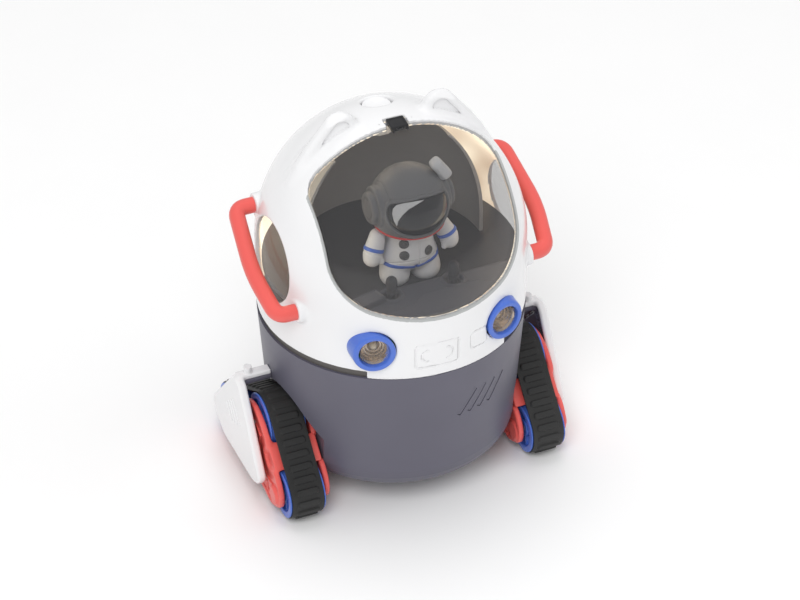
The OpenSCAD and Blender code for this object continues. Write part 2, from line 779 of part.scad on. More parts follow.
module speaker() color([0.15, 0.15, 0.15]) translate([22, -48, 55]) rotate([90, 0, 25])
    cylinder(r = 11, h = 6, center = true);

module power_switch() color([0.85, 0.2, 0.2]) translate([0, 0, switch_z]) {
    translate([-2.5, 62, -2]) cube([5, 8, 4]);
    translate([-7, 60, -4]) cube([14, 3.5, 8]);
}

hull_shell();
chassis();
seam_ring();
dome_shell();
canopy_window();
canopy_hinge_pin();
porthole(-1);  // left_porthole
porthole(1);  // right_porthole
handle(-1);  // left_handle
handle(1);  // right_handle
lamp_bezel(-1);  // left_lamp_bezel
lamp_bezel(1);  // right_lamp_bezel
lamp_lens(-1);  // left_lamp_lens
lamp_lens(1);  // right_lamp_lens
lamp_reflector(-1);  // left_lamp_reflector
lamp_reflector(1);  // right_lamp_reflector
lamp_leds();
top_button();
cabin_floor();
cabin_liner();
console();
joystick(-1);  // left_joystick
joystick(1);  // right_joystick
astronaut_body();
astronaut_collar();
astronaut_arm(-1);  // astronaut_left_arm
astronaut_arm(1);  // astronaut_right_arm
astronaut_helmet();
helmet_visor();
helmet_camera();
track_belt(-1);  // left_track_belt
track_belt(1);  // right_track_belt
track_wheel(-1, top_stop, axle_r);  // left_drive_wheel
track_wheel(1, top_stop, axle_r);  // right_drive_wheel
track_wheel(-1, front_stop, axle_bore_r);  // left_front_wheel
track_wheel(1, front_stop, axle_bore_r);  // right_front_wheel
track_wheel(-1, rear_stop, axle_bore_r);  // left_rear_wheel
track_wheel(1, rear_stop, axle_bore_r);  // right_rear_wheel
drive_shaft(-1);  // left_drive_shaft
drive_shaft(1);  // right_drive_shaft
axles(-1);  // left_axles
axles(1);  // right_axles
outer_frame(-1);  // left_outer_frame
outer_frame(1);  // right_outer_frame
inner_frame(-1);  // left_inner_frame
inner_frame(1);  // right_inner_frame
leg_cover(-1);  // left_leg_cover
leg_cover(1);  // right_leg_cover
leg_arm(-1);  // left_leg_arm
leg_arm(1);  // right_leg_arm
motor(-1);  // left_motor
motor(1);  // right_motor
motor_pinion(-1);  // left_motor_pinion
motor_pinion(1);  // right_motor_pinion
battery_pack();
battery_door();
door_screws();
circuit_board();
speaker();
power_switch();
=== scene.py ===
import json
import math

import bpy
import numpy as np
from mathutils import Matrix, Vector


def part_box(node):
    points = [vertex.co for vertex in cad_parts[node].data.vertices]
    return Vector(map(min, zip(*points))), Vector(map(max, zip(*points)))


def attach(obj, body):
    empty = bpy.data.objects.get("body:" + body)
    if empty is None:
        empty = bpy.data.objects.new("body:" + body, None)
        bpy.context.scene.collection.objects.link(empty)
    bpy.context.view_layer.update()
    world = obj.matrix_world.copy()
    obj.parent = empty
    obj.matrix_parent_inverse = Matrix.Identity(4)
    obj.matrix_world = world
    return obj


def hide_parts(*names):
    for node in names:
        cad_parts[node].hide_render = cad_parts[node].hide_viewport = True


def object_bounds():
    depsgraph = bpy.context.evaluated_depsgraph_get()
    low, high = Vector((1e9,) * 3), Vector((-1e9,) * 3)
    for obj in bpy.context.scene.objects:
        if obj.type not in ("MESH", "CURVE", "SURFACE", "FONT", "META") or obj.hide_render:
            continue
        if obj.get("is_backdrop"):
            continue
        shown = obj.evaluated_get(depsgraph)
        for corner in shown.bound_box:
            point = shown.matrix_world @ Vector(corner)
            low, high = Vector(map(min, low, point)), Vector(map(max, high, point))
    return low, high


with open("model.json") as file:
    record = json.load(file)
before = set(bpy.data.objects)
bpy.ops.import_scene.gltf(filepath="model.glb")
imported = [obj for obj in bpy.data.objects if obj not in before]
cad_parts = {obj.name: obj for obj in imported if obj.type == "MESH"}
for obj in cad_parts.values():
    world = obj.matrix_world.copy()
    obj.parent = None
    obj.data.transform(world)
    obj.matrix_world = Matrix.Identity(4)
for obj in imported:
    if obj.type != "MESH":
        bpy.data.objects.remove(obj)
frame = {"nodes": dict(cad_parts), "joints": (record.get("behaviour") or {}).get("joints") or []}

# The capsule robot's looks. Shapes are worked out in millimetres, in the CAD frame: +Z up, the
# front faces -Y, and "left" is the -X side. Most pieces are smooth distance fields turned into
# meshes, so that mouldings blend into each other as they do on a moulded toy.

cad_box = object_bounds()
JOINTS = {joint["name"]: joint for joint in frame["joints"]}
MM = 0.001


def cad(node):
    """Lowest and highest corner of a CAD node, in millimetres."""
    low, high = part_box(node)
    return np.array(low) / MM, np.array(high) / MM


def middle(node):
    """Middle of a CAD node's box, in millimetres."""
    low, high = cad(node)
    return (low + high) / 2


def pivot(joint):
    """A joint's position, in millimetres."""
    return np.array(JOINTS[joint]["pos_m"]) / MM


# ---------------------------------------------------------------- sizes, from the frame

BODY_R = cad("dome_shell")[1][1]
SEAM_Z = cad("hull_shell")[1][2]
SPRING_Z = SEAM_Z + 41
DOME_RISE = 73.0
DOME_TOP = SPRING_Z + DOME_RISE
WALL = 3.0
SKIRT_Z = cad("seam_ring")[1][2] - 4
HINGE = pivot("canopy_hinge")
PORT = middle("right_porthole")
PORT_R = (cad("right_porthole")[1][2] - cad("right_porthole")[0][2]) / 2 + 0.1
BUTTON = middle("top_button")
BUTTON_TOP = cad("top_button")[1][2]
EAR_TOP = cad("dome_shell")[1][2]
FIGURE_Y = pivot("astronaut_head_turn")[1]
HELMET = pivot("astronaut_head_turn")
HELMET_R = FIGURE_Y - cad("astronaut_helmet")[0][1] - 1.2
CONSOLE_Z = cad("console")[1][2]
WINDOW_HALF_W = 50.8
WINDOW_LOW_Z = SEAM_Z + 35.5
WINDOW_EDGE_Y = -9.0
ARCH_R = 116.0
CORNER_R = 24.0


# ---------------------------------------------------------------- distance fields


def smooth_min(a, b, k):
    h = np.clip(0.5 + 0.5 * (b - a) / k, 0, 1)
    return b + (a - b) * h - k * h * (1 - h)


def smooth_max(a, b, k):
    return -smooth_min(-a, -b, k)


def cut(a, b, k):
    """Shape a with shape b taken away, its edge rounded over about k."""
    return smooth_max(a, -b, k)


def ball(x, y, z, centre, r):
    return np.sqrt((x - centre[0]) ** 2 + (y - centre[1]) ** 2 + (z - centre[2]) ** 2) - r


def bar(x, y, z, a, b, ra, rb=None):
    """Round-ended bar from a to b, of radius ra at a and rb at b."""
    rb = ra if rb is None else rb
    a, b = np.array(a, float), np.array(b, float)
    d = b - a
    t = ((x - a[0]) * d[0] + (y - a[1]) * d[1] + (z - a[2]) * d[2]) / (d @ d)
    t = np.clip(t, 0, 1)
    return ball(x - t * d[0], y - t * d[1], z - t * d[2], a, 0) - (ra + (rb - ra) * t)


def slab(flat, across, half, r):
    """A flat outline's distance, extruded to plus and minus half, with edges of radius r."""
    a, b = flat + r, np.abs(across) - half + r
    return np.minimum(np.maximum(a, b), 0) + np.hypot(np.maximum(a, 0), np.maximum(b, 0)) - r


def block(x, y, z, centre, half, r):
    """Rounded box."""
    q = [np.abs(v - c) - h + r for v, c, h in zip((x, y, z), centre, half)]
    outside = np.sqrt(sum(np.maximum(v, 0) ** 2 for v in q))
    return outside + np.minimum(np.maximum(np.maximum(q[0], q[1]), q[2]), 0) - r


def outline(u, v, points):
    """Signed distance to a closed polygon."""
    best = np.full_like(u, 1e9)
    inside = np.zeros(u.shape, bool)
    for (ux, uy), (wx, wy) in zip(points, points[1:] + points[:1]):
        ex, ey = wx - ux, wy - uy
        pu, pv = u - ux, v - uy
        t = np.clip((pu * ex + pv * ey) / (ex * ex + ey * ey), 0, 1)
        best = np.minimum(best, (pu - t * ex) ** 2 + (pv - t * ey) ** 2)
        crosses = (uy > v) != (wy > v)
        side = (ex * pv - ey * pu) * (1 if ey > 0 else -1)
        inside ^= crosses & (side > 0)
    return np.where(inside, -1, 1) * np.sqrt(best)


def flat_bar(u, v, a, b, r):
    d = np.array(b, float) - np.array(a, float)
    t = np.clip(((u - a[0]) * d[0] + (v - a[1]) * d[1]) / (d @ d), 0, 1)
    return np.hypot(u - a[0] - t * d[0], v - a[1] - t * d[1]) - r


def away(y, z, spot):
    """Distance, seen from the side, from a point given as (y, z) or (x, y, z)."""
    return np.hypot(y - spot[-2], z - spot[-1])


def turned(u, v, angle):
    """The same point, in axes turned by an angle."""
    c, s = math.cos(angle), math.sin(angle)
    return u * c - v * s, u * s + v * c


def scored(shape, line, depth, k, skin=None):
    """The shape with a fine groove where the line's distance is 0 on its skin."""
    skin = shape if skin is None else skin
    return smooth_max(shape, depth - np.hypot(line, np.minimum(skin, 0)), k)


def dome(x, y, z, inset):
    """The dome's outer surface, set in."""
    r, rise = BODY_R - inset, DOME_RISE - inset
    up = np.maximum(z - SPRING_Z, 0)
    q = x * x + y * y
    k0 = np.sqrt(q / r**2 + up**2 / rise**2) + 1e-6
    k1 = np.sqrt(q / r**4 + up**2 / rise**4) + 1e-9
    return np.where(z > SPRING_Z, k0 * (k0 - 1) / k1, np.sqrt(q) - r)


def window(x, z):
    """The canopy opening's outline, seen from the front."""
    u = np.abs(x)
    arch_z = WINDOW_LOW_Z + ARCH_R
    cx = WINDOW_HALF_W - CORNER_R
    cz = arch_z - math.sqrt((ARCH_R - CORNER_R) ** 2 - cx**2)
    arch = np.hypot(u, z - arch_z) - ARCH_R
    corner = np.hypot(u - cx, z - cz) - CORNER_R
    under_arch = u * (cz - arch_z) - (z - arch_z) * cx > 0
    low = np.where(under_arch, arch, corner)
    return np.where(z >= cz, u - WINDOW_HALF_W, low)


# ---------------------------------------------------------------- meshes


BLOCK = 4  # cells along a block: blocks far from the surface are not looked into
NEAR = 5.5  # cells from a block's middle to a surface that may touch the block
BATCH = 400000  # points worked out at a time


def surface(field, low, high, cell):
    """Mesh of the field's zero surface: (points, quads, normals), in millimetres."""
    low = np.array(low, float) - 2 * cell
    count = (np.ceil((np.array(high, float) + 2 * cell - low) / cell / BLOCK).astype(int) + 1) * BLOCK
    blocks = count // BLOCK
    centres = np.stack(np.meshgrid(*[np.arange(n) for n in blocks], indexing="ij"), -1)
    mids = low + (centres.reshape(-1, 3) * BLOCK + (BLOCK - 1) / 2) * cell
    rough = field(*mids.T)
    near = np.abs(rough) < cell * NEAR
    values = rough.reshape(blocks).astype(np.float32)
    for axis in range(3):
        values = np.repeat(values, BLOCK, axis)
    inner = np.stack(np.meshgrid(*[np.arange(BLOCK)] * 3, indexing="ij"), -1).reshape(-1, 3)
    index = (centres.reshape(-1, 3)[near][:, None, :] * BLOCK + inner[None]).reshape(-1, 3)
    for part in np.array_split(index, max(1, len(index) // BATCH)):
        values[part[:, 0], part[:, 1], part[:, 2]] = field(*(low + part * cell).T)
    inside = values < 0
    corners = [(i, j, k) for i in (0, 1) for j in (0, 1) for k in (0, 1)]
    full = np.ones(count - 1, bool)
    some = np.zeros(count - 1, bool)
    for i, j, k in corners:
        c = inside[i : count[0] - 1 + i, j : count[1] - 1 + j, k : count[2] - 1 + k]
        full &= c
        some |= c
    cells = np.argwhere(some & ~full)
    number = np.full(count - 1, -1, np.int32)
    number[tuple(cells.T)] = np.arange(len(cells))
    total, hits = np.zeros((len(cells), 3)), np.zeros(len(cells))
    for a in corners:
        for axis in range(3):
            if a[axis]:
                continue
            b = tuple(1 if n == axis else a[n] for n in range(3))
            va = values[tuple((cells + a).T)]
            vb = values[tuple((cells + b).T)]
            hit = (va < 0) != (vb < 0)
            t = va[hit] / (va[hit] - vb[hit])
            spot = (cells[hit] + np.array(a)).astype(float)
            spot[:, axis] += t
            total[hit] += spot
            hits[hit] += 1
    points = low + total / hits[:, None] * cell
    quads = []
    for axis in range(3):
        s, t = [n for n in range(3) if n != axis]
        ahead = np.take(inside, range(1, count[axis]), axis)
        behind = np.take(inside, range(0, count[axis] - 1), axis)
        for flag, order in ((behind & ~ahead, 1), (ahead & ~behind, -1)):
            edges = np.argwhere(flag)
            edges = edges[(edges[:, s] > 0) & (edges[:, t] > 0)]
            edges = edges[(edges[:, s] < count[s] - 1) & (edges[:, t] < count[t] - 1)]
            ring = []
            for ds, dt in ((1, 1), (0, 1), (0, 0), (1, 0)):
                c = edges.copy()
                c[:, s] -= ds
                c[:, t] -= dt
                ring.append(number[tuple(c.T)])
            quad = np.stack(ring, 1)
            if (order == 1) == (axis == 1):
                quad = quad[:, ::-1]
            quads.append(quad[(quad >= 0).all(1)])
    quads = np.concatenate(quads)
    for _ in range(2):
        d, g = slope_of(field, points)
        step = np.clip(d, -cell / 2, cell / 2)[:, None] * g
        points = points - step
    return points, quads, slope_of(field, points)[1]


def slope_of(field, points, h=0.05):
    """The field and its unit gradient at points."""
    p = points.T
    here = field(*p)
    g = np.stack([field(*(p + step)) - field(*(p - step)) for step in h * np.eye(3)[:, :, None]], 1)
    return here, g / np.maximum(np.linalg.norm(g, axis=1), 1e-9)[:, None]


def mirrored(shape):
    """The shape on the other side of the middle plane."""
    points, quads, normals = shape
    flip = np.array([-1, 1, 1])
    return points * flip, quads[:, ::-1], None if normals is None else normals * flip


def moved(shape, step):
    points, quads, normals = shape
    return points + np.array(step), quads, normals


def joined(*shapes):
    """Several shapes as one, with smooth shading worked out by Blender."""
    points, quads, start = [], [], 0
    for p, q, _ in shapes:
        points.append(p)
        quads.append(q + start)
        start += len(p)
    return np.concatenate(points), np.concatenate(quads), None


def rounded(profile, r, closed=True, steps=4):
    """A profile's points, with each corner turned into an arc of radius r or less."""
    out = []
    count = len(profile)
    for i, p in enumerate(profile):
        p = np.array(p, float)
        if not closed and i in (0, count - 1):
            out.append(p)
            continue
        a = np.array(profile[i - 1], float) - p
        b = np.array(profile[(i + 1) % count], float) - p
        la, lb = np.linalg.norm(a), np.linalg.norm(b)
        size = min(r, la * 0.45, lb * 0.45)
        for k in range(steps + 1):
            t = k / steps
            out.append(p + a / la * size * (1 - t) ** 2 + b / lb * size * t**2)
    return [tuple(p) for p in out]


def grid(rings, sides, closed=False):
    """Quads between rings of points. The last ring joins the first when closed."""
    i, j = np.meshgrid(np.arange(rings if closed else rings - 1), np.arange(sides), indexing="ij")
    k, l = (i + 1) % rings, (j + 1) % sides
    return np.stack([i * sides + j, i * sides + l, k * sides + l, k * sides + j], -1).reshape(-1, 4)


POINT_R = 0.004  # radius of a ring that stands for a point on the axis


def lathe(profile, turns=64, closed=True):
    """Revolves (radius, height) points about Z. An open profile starts and ends on the axis."""
    angle = np.arange(turns) * 2 * math.pi / turns
    ring = np.stack([np.cos(angle), np.sin(angle)], 1)
    rings = [np.column_stack([ring * max(r, POINT_R), np.full(turns, h)]) for r, h in profile]
    return np.concatenate(rings), grid(len(profile), turns, closed), None


def tube(path, r, sides=24):
    """Round tube with domed ends along a path of points."""
    path = np.array(path, float)
    tangent = np.gradient(path, axis=0)
    tangent /= np.linalg.norm(tangent, axis=1)[:, None]
    side = np.cross(tangent[0], [0.3, 0.9, 0.3])
    side /= np.linalg.norm(side)
    rings = []
    ends = [math.cos(math.pi / 2 * (1 - t)) for t in (0.0, 0.2, 0.45, 0.75)]
    steps = [(0, -math.sqrt(1 - e * e), e) for e in ends]
    steps += [(i, 0, 1) for i in range(len(path))]
    steps += [(-1, math.sqrt(1 - e * e), e) for e in ends[::-1]]
    for i, shift, scale in steps:
        t = tangent[i]
        side = side - t * (side @ t)
        side /= np.linalg.norm(side)
        other = np.cross(t, side)
        a = np.arange(sides) * 2 * math.pi / sides
        centre = path[i] + t * shift * r * 0.35
        rings.append(centre + r * max(scale, 0.01) * (np.cos(a)[:, None] * side + np.sin(a)[:, None] * other))
    return np.concatenate(rings), grid(len(rings), sides), None


def add(name, data, place=(0, 0, 0), facing=None):
    """Puts an object in the scene, with its -Z turned to face a direction."""
    obj = bpy.data.objects.new(name, data)
    obj.location = place
    if facing is not None:
        obj.rotation_mode = "QUATERNION"
        obj.rotation_quaternion = facing.to_track_quat("-Z", "Y")
    bpy.context.scene.collection.objects.link(obj)
    return obj


def piece(name, shape, material, node=None, body="body"):
    """Makes an object from a shape. It stands for a CAD node or is an extra, and rides on a body.
    """
    points, quads, normals = shape
    a, b, c = (points[quads[:, n]] - points[0] for n in range(3))
    inside_out = (a * np.cross(b, c)).sum() < 0
    if inside_out:
        quads = quads[:, ::-1]
    mesh = bpy.data.meshes.new(name)
    mesh.vertices.add(len(points))
    mesh.vertices.foreach_set("co", (points * MM).astype(np.float32).ravel())
    mesh.loops.add(quads.size)
    mesh.loops.foreach_set("vertex_index", quads.astype(np.int32).ravel())
    mesh.polygons.add(len(quads))
    mesh.polygons.foreach_set("loop_start", np.arange(len(quads), dtype=np.int32) * 4)
    mesh.update(calc_edges=True)
    mesh.validate()
    mesh.shade_smooth()
    if normals is not None and len(mesh.vertices) == len(points):
        mesh.normals_split_custom_set_from_vertices(normals.astype(np.float32))
    elif normals is None:
        mesh.set_sharp_from_angle(angle=math.radians(40))
    mesh.materials.append(material)
    obj = add(name, mesh)
    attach(obj, body)
    if node:
        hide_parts(node)
    return obj


def paint(obj, where, material):
    """Gives the faces whose middles (in millimetres) and directions pass a test a second material."""
    mesh = obj.data
    count = len(mesh.polygons)
    centres, facing = np.zeros(count * 3), np.zeros(count * 3)
    mesh.polygons.foreach_get("center", centres)
    mesh.polygons.foreach_get("normal", facing)
    index = np.zeros(count, np.int32)
    mesh.polygons.foreach_get("material_index", index)
    mesh.materials.append(material)
    index[where(centres.reshape(-1, 3) / MM, facing.reshape(-1, 3))] = len(mesh.materials) - 1
    mesh.polygons.foreach_set("material_index", index)


def both_sides(name, shape, material, node=None, body="body"):
    """A right-hand shape and its mirror image. {side} in a name is left or right."""
    for side, made in (("right", shape), ("left", mirrored(shape))):
        stands_for = node and node.format(side=side)
        piece(name.format(side=side), made, material, stands_for, body.format(side=side))


# ---------------------------------------------------------------- materials


class Nodes:
    """A material's node tree, with short ways to add and join nodes."""

    def __init__(self, name):
        self.material = bpy.data.materials.new(name)
        self.material.use_nodes = True
        self.tree = self.material.node_tree
        self.shader = self.tree.nodes["Principled BSDF"]

    def add(self, kind, **values):
        node = self.tree.nodes.new(kind)
        for key, value in values.items():
            if key in node.inputs:
                node.inputs[key].default_value = value
            else:
                setattr(node, key, value)
        return node

    def link(self, a, b):
        self.tree.links.new(a, b)

    def set(self, **values):
        for key, value in values.items():
            self.shader.inputs[key.replace("_", " ")].default_value = value

    def noise(self, scale, detail=3.0, rough=0.55):
        node = self.add("ShaderNodeTexNoise", Scale=scale, Detail=detail, Roughness=rough)
        self.link(self.add("ShaderNodeTexCoord").outputs["Object"], node.inputs["Vector"])
        return node.outputs["Fac"]

    def ramp(self, fac, stops):
        node = self.add("ShaderNodeValToRGB")
        element = node.color_ramp.elements
        while len(element) < len(stops):
            element.new(0.5)
        for e, (place, colour) in zip(element, stops):
            e.position = place
            e.color = (*colour, 1)
        self.link(fac, node.inputs["Fac"])
        return node.outputs["Color"]

    def span(self, fac, low, high):
        node = self.add("ShaderNodeMapRange")
        node.inputs["To Min"].default_value = low
        node.inputs["To Max"].default_value = high
        self.link(fac, node.inputs["Value"])
        return node.outputs["Result"]

    def feed(self, socket, value):
        self.link(value, self.shader.inputs[socket])

    def bump(self, height, strength, distance):
        node = self.add("ShaderNodeBump", Strength=strength, Distance=distance)
        self.link(height, node.inputs["Height"])
        self.feed("Normal", node.outputs["Normal"])


def shade(colour, factor):
    return tuple(min(1.0, c * factor) for c in colour)


def plastic(name, colour, rough, spread=0.06, grain=900.0, grain_depth=0.00002, coat=0.0, tone=0.05):
    """Moulded plastic: faint tone drift, uneven gloss and a fine moulded grain."""
    n = Nodes(name)
    drift = [(0.3, shade(colour, 1 - tone)), (0.7, shade(colour, 1 + tone))]
    n.feed("Base Color", n.ramp(n.noise(18.0, 2.0), drift))
    n.feed("Roughness", n.span(n.noise(55.0, 4.0), rough - spread, rough + spread))
    n.bump(n.noise(grain, 2.0), 0.25, grain_depth)
    n.set(Coat_Weight=coat, Coat_Roughness=0.12)
    return n.material


def clear(name, colour, cover, rough=0.03, coat=1.0):
    """Clear or smoked plastic: each skin covers part of what is behind it, under a hard gloss."""
    n = Nodes(name)
    n.feed("Base Color", n.ramp(n.noise(12.0, 2.0), [(0.2, shade(colour, 0.94)), (0.8, colour)]))
    n.feed("Roughness", n.span(n.noise(30.0, 5.0), rough, rough + 0.02))
    n.set(Alpha=cover, Coat_Weight=coat, Coat_Roughness=0.02, IOR=1.6)
    return n.material


def painted_glow_lining(name, colours, glow):
    """The shell's bare inner wall: glossy and warm in tone, with a painted glow: its emission makes it shine
    as though lit through the thin white plastic, though it is no lamp.
    """
    n = Nodes(name)
    tone = n.ramp(n.noise(26.0, 1.0), [(0.35, colours[0]), (0.62, colours[1])])
    n.feed("Base Color", tone)
    n.feed("Emission Color", tone)
    n.feed("Roughness", n.span(n.noise(60.0, 3.0), 0.12, 0.3))
    n.set(Emission_Strength=glow, Metallic=0.4)
    return n.material


def metal(name, colour, rough):
    """Bare metal with a little cloudiness."""
    n = Nodes(name)
    n.feed("Base Color", n.ramp(n.noise(140.0, 3.0), [(0.3, shade(colour, 0.85)), (0.7, colour)]))
    n.feed("Roughness", n.span(n.noise(400.0, 3.0), rough * 0.8, rough * 1.3))
    n.set(Metallic=1.0)
    return n.material


WHITE = plastic("white_plastic", (0.84, 0.84, 0.85), 0.24, grain=1500.0, coat=0.35, tone=0.015)
SLATE = plastic("slate_plastic", (0.112, 0.108, 0.143), 0.42, grain=1800.0, grain_depth=0.00003)
DARK = plastic("dark_plastic", (0.035, 0.035, 0.042), 0.45)
REVEAL = plastic("reveal_plastic", (0.10, 0.092, 0.086), 0.5)
RED = plastic("red_plastic", (0.80, 0.115, 0.10), 0.34, coat=0.15, tone=0.03)
BLUE = plastic("blue_plastic", (0.07, 0.16, 0.60), 0.34, coat=0.2, tone=0.03)
RUBBER = plastic("track_rubber", (0.022, 0.022, 0.022), 0.62, spread=0.1, grain=500.0, grain_depth=0.00012,
                 tone=0.2)
SUIT = plastic("suit_vinyl", (0.78, 0.78, 0.80), 0.5, grain=700.0, grain_depth=0.00005, tone=0.02)
HELMET_GREY = plastic("helmet_grey", (0.16, 0.16, 0.165), 0.42)
LIGHT_GREY = plastic("light_grey", (0.6, 0.6, 0.61), 0.4)
VISOR = plastic("visor_black", (0.006, 0.006, 0.008), 0.09, spread=0.03, coat=0.4)
COLLAR = plastic("collar_red", (0.62, 0.03, 0.03), 0.45)
# Painted glow: the inner wall emits light that stands in for light it does not get from the lamps.
PAINTED_GLOW_LINING = painted_glow_lining("dome_lining_painted_glow", [(0.50, 0.38, 0.27), (1.0, 0.92, 0.74)], 1.5)
PAINTED_SHADE_EDGE = plastic("window_edge_painted_shade", (0.44, 0.45, 0.45), 0.35, tone=0.03)
# Painted shade: this grey stands for shade on the white bevel round the canopy opening.
KNOB = plastic("knob_grey", (0.11, 0.11, 0.115), 0.4)
CABIN = plastic("cabin_plastic", (0.30, 0.30, 0.31), 0.5)
PANEL = plastic("console_panel", (0.085, 0.085, 0.10), 0.4)
SMOKED = clear("smoked_window", (0.09, 0.09, 0.095), 0.2)
SIDE_GLASS = clear("side_window", (0.30, 0.26, 0.22), 0.18)
LENS = clear("lamp_lens", (0.5, 0.48, 0.46), 0.1)
MIRROR = metal("reflector", (0.62, 0.50, 0.38), 0.18)
LED = plastic("led", (0.6, 0.5, 0.36), 0.2)
STEEL = metal("steel", (0.6, 0.6, 0.62), 0.3)
BRASS = metal("brass", (0.75, 0.58, 0.25), 0.3)
WRAP = plastic("battery_wrap", (0.03, 0.06, 0.25), 0.3)
BOARD = plastic("board_laminate", (0.02, 0.16, 0.06), 0.4)


def pairs(*names):
    """The left and right node of each name."""
    return [f"{side}_{name}" for name in names for side in ("left", "right")]


CARRIED = {
    WHITE: ["dome_shell", "top_button", *pairs("leg_cover")],
    SLATE: ["hull_shell", "battery_door", "console", *pairs("leg_arm")],
    DARK: ["chassis", "cabin_floor", "speaker", *pairs("joystick")],
    CABIN: ["cabin_liner"],
    REVEAL: ["seam_ring"],
    SMOKED: ["canopy_window"],
    SIDE_GLASS: pairs("porthole"),
    RED: ["power_switch", *pairs("handle", "outer_frame", "inner_frame")],
    BLUE: pairs("lamp_bezel", "drive_wheel", "front_wheel", "rear_wheel"),
    LENS: pairs("lamp_lens"),
    MIRROR: pairs("lamp_reflector"),
    LED: ["lamp_leds"],
    STEEL: ["canopy_hinge_pin", "door_screws", *pairs("drive_shaft", "axles", "motor")],
    BRASS: pairs("motor_pinion"),
    RUBBER: pairs("track_belt"),
    WRAP: ["battery_pack"],
    BOARD: ["circuit_board"],
    SUIT: ["astronaut_body", "astronaut_left_arm", "astronaut_right_arm"],
    COLLAR: ["astronaut_collar"],
    HELMET_GREY: ["astronaut_helmet"],
    VISOR: ["helmet_visor"],
    LIGHT_GREY: ["helmet_camera"],
}
for material, nodes in CARRIED.items():
    for node in nodes:
        mesh = frame["nodes"][node].data
        mesh.materials.clear()
        mesh.materials.append(material)


# ---------------------------------------------------------------- camera, floor and light


CAMERA_TURN, CAMERA_RISE = math.radians(-23.12), math.radians(36.45)
CAMERA_REACH = 22.5  # body radii from the point it looks at
CAMERA_LENS = 136.0
AIM_ASIDE, AIM_DOWN = 0.067, 0.025  # body radii
FLOOR_HALF = 6.0
WORLD_LIGHT = 0.56
# name, place in metres, disc size, watts
LIGHTS = [("key", (-0.9, -1.3, 1.9), 1.5, 26.0), ("fill", (1.6, -0.5, 1.2), 1.2, 4.0),
          ("top", (0.1, 0.5, 2.2), 1.4, 12.0)]


def make_camera(target):
    level = math.cos(CAMERA_RISE)
    back = Vector((math.sin(CAMERA_TURN) * level, -math.cos(CAMERA_TURN) * level, math.sin(CAMERA_RISE)))
    camera = bpy.data.cameras.new("camera")
    camera.lens = CAMERA_LENS
    camera.sensor_width = 36.0
    camera.clip_start = 0.05
    camera.clip_end = 60
    bpy.context.scene.camera = add("camera", camera, target + back * CAMERA_REACH * BODY_R * MM, -back)


def make_stage():
    r = BODY_R * MM
    aside = Vector((math.cos(CAMERA_TURN), math.sin(CAMERA_TURN), 0))
    target = Vector((0, 0, SEAM_Z * MM - AIM_DOWN * r)) + aside * AIM_ASIDE * r
    make_camera(target)
    floor = bpy.data.meshes.new("floor")
    corners = [(x * FLOOR_HALF, y * FLOOR_HALF, 0) for x, y in ((-1, -1), (1, -1), (1, 1), (-1, 1))]
    floor.from_pydata(corners, [], [(0, 1, 2, 3)])
    floor.materials.append(plastic("floor", (0.945, 0.945, 0.945), 0.6, grain=60.0, tone=0.004))
    add("floor", floor)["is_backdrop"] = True
    world = bpy.data.worlds.new("studio")
    world.use_nodes = True
    background = world.node_tree.nodes["Background"]
    background.inputs["Color"].default_value = (1, 1, 1, 1)
    background.inputs["Strength"].default_value = WORLD_LIGHT
    bpy.context.scene.world = world
    for name, place, size, power in LIGHTS:
        light = bpy.data.lights.new(name, "AREA")
        light.shape = "DISK"
        light.size = size
        light.energy = power
        add(name, light, place, target - Vector(place)).visible_glossy = False
    bpy.context.scene.view_settings.view_transform = "Standard"


make_stage()


# ---------------------------------------------------------------- dome and canopy


EAR_X = 27.0
EAR_TIP_R = 9.0
EAR_LEAN = 1.3


def ear(x, y, z):
    """One ear on the +X side, as a soft upright plate with a hollow in its front."""
    tip_z = EAR_TOP - EAR_TIP_R
    sides = [(45.7, 194.1), (50.5, 186.5), (53.6, 177.8), (44, 174), (13, 194), (17.6, 201.5)]
    tip = [(EAR_X + EAR_TIP_R * math.cos(math.radians(a)), tip_z + EAR_TIP_R * math.sin(math.radians(a)))
           for a in range(165, 25, -15)]
    flat = outline(np.abs(x), z + EAR_LEAN * np.maximum(y - 3.5, 0), sides + tip)
    body = slab(flat, y - 4.6, 6.0, 2.6)
    hollow = slab(flat + 4.0, y + 1.4, 1.6, 0.8)
    keep = dome(x, y, z, 0) - 1.2
    return cut(body, np.maximum(hollow, -keep), 1.0)


def lamp_axis():
    """The right lamp's front centre and the direction into the dome."""
    lens = middle("right_lamp_lens")
    turn = math.radians(15)
    inward = np.array([-math.sin(turn), math.cos(turn), 0])
    return lens - inward * 1.65, inward


LAMP, LAMP_IN = lamp_axis()
BEZEL_R = 10.9
HANDLE_LOW = (-30.0, 122.0)
HANDLE_HIGH = (27.0, 151.0)
BOSS_X, BOSS_R = 60.0, 6.0
TAB_HALF_TURN = math.radians(33)
WINDOW_BEVEL = 1.0
BEVEL_LOW_Z = 100.0
WELL_R = 8.0
CUP_LOW_Z = 188.0


def around_lamp(x, y, z, r):
    """Distance to the right lamp's cylinder, mirrored to both sides."""
    u = np.abs(x)
    d = np.stack([u - LAMP[0], y - LAMP[1], z - LAMP[2]])
    along = (d * LAMP_IN[:, None]).sum(0)
    return np.sqrt(np.maximum((d**2).sum(0) - along**2, 0)) - r


def tab_groove(x, y, z):
    """Fine moulded lines on the front tab: a panel with two crescents, and a small badge."""
    turn = np.degrees(np.arctan2(x, -y))
    u = turn * BODY_R * math.pi / 180
    up = z - SEAM_Z

    def frame_line(cu, cz, half_w, half_h, r):
        return np.abs(slab(np.abs(u - cu) - half_w, up - cz, half_h, r))

    panel = frame_line(-4.0, 13.0, 11.5, 7.0, 1.6)
    crescents = np.maximum(np.abs(np.hypot(np.abs(u + 4.0) - 5.0, up - 13.0) - 3.4), -np.abs(u + 4.0) + 5.0)
    badge = frame_line(20.5, 14.5, 5.4, 5.0, 2.2)
    return np.minimum(np.minimum(panel, crescents), badge)


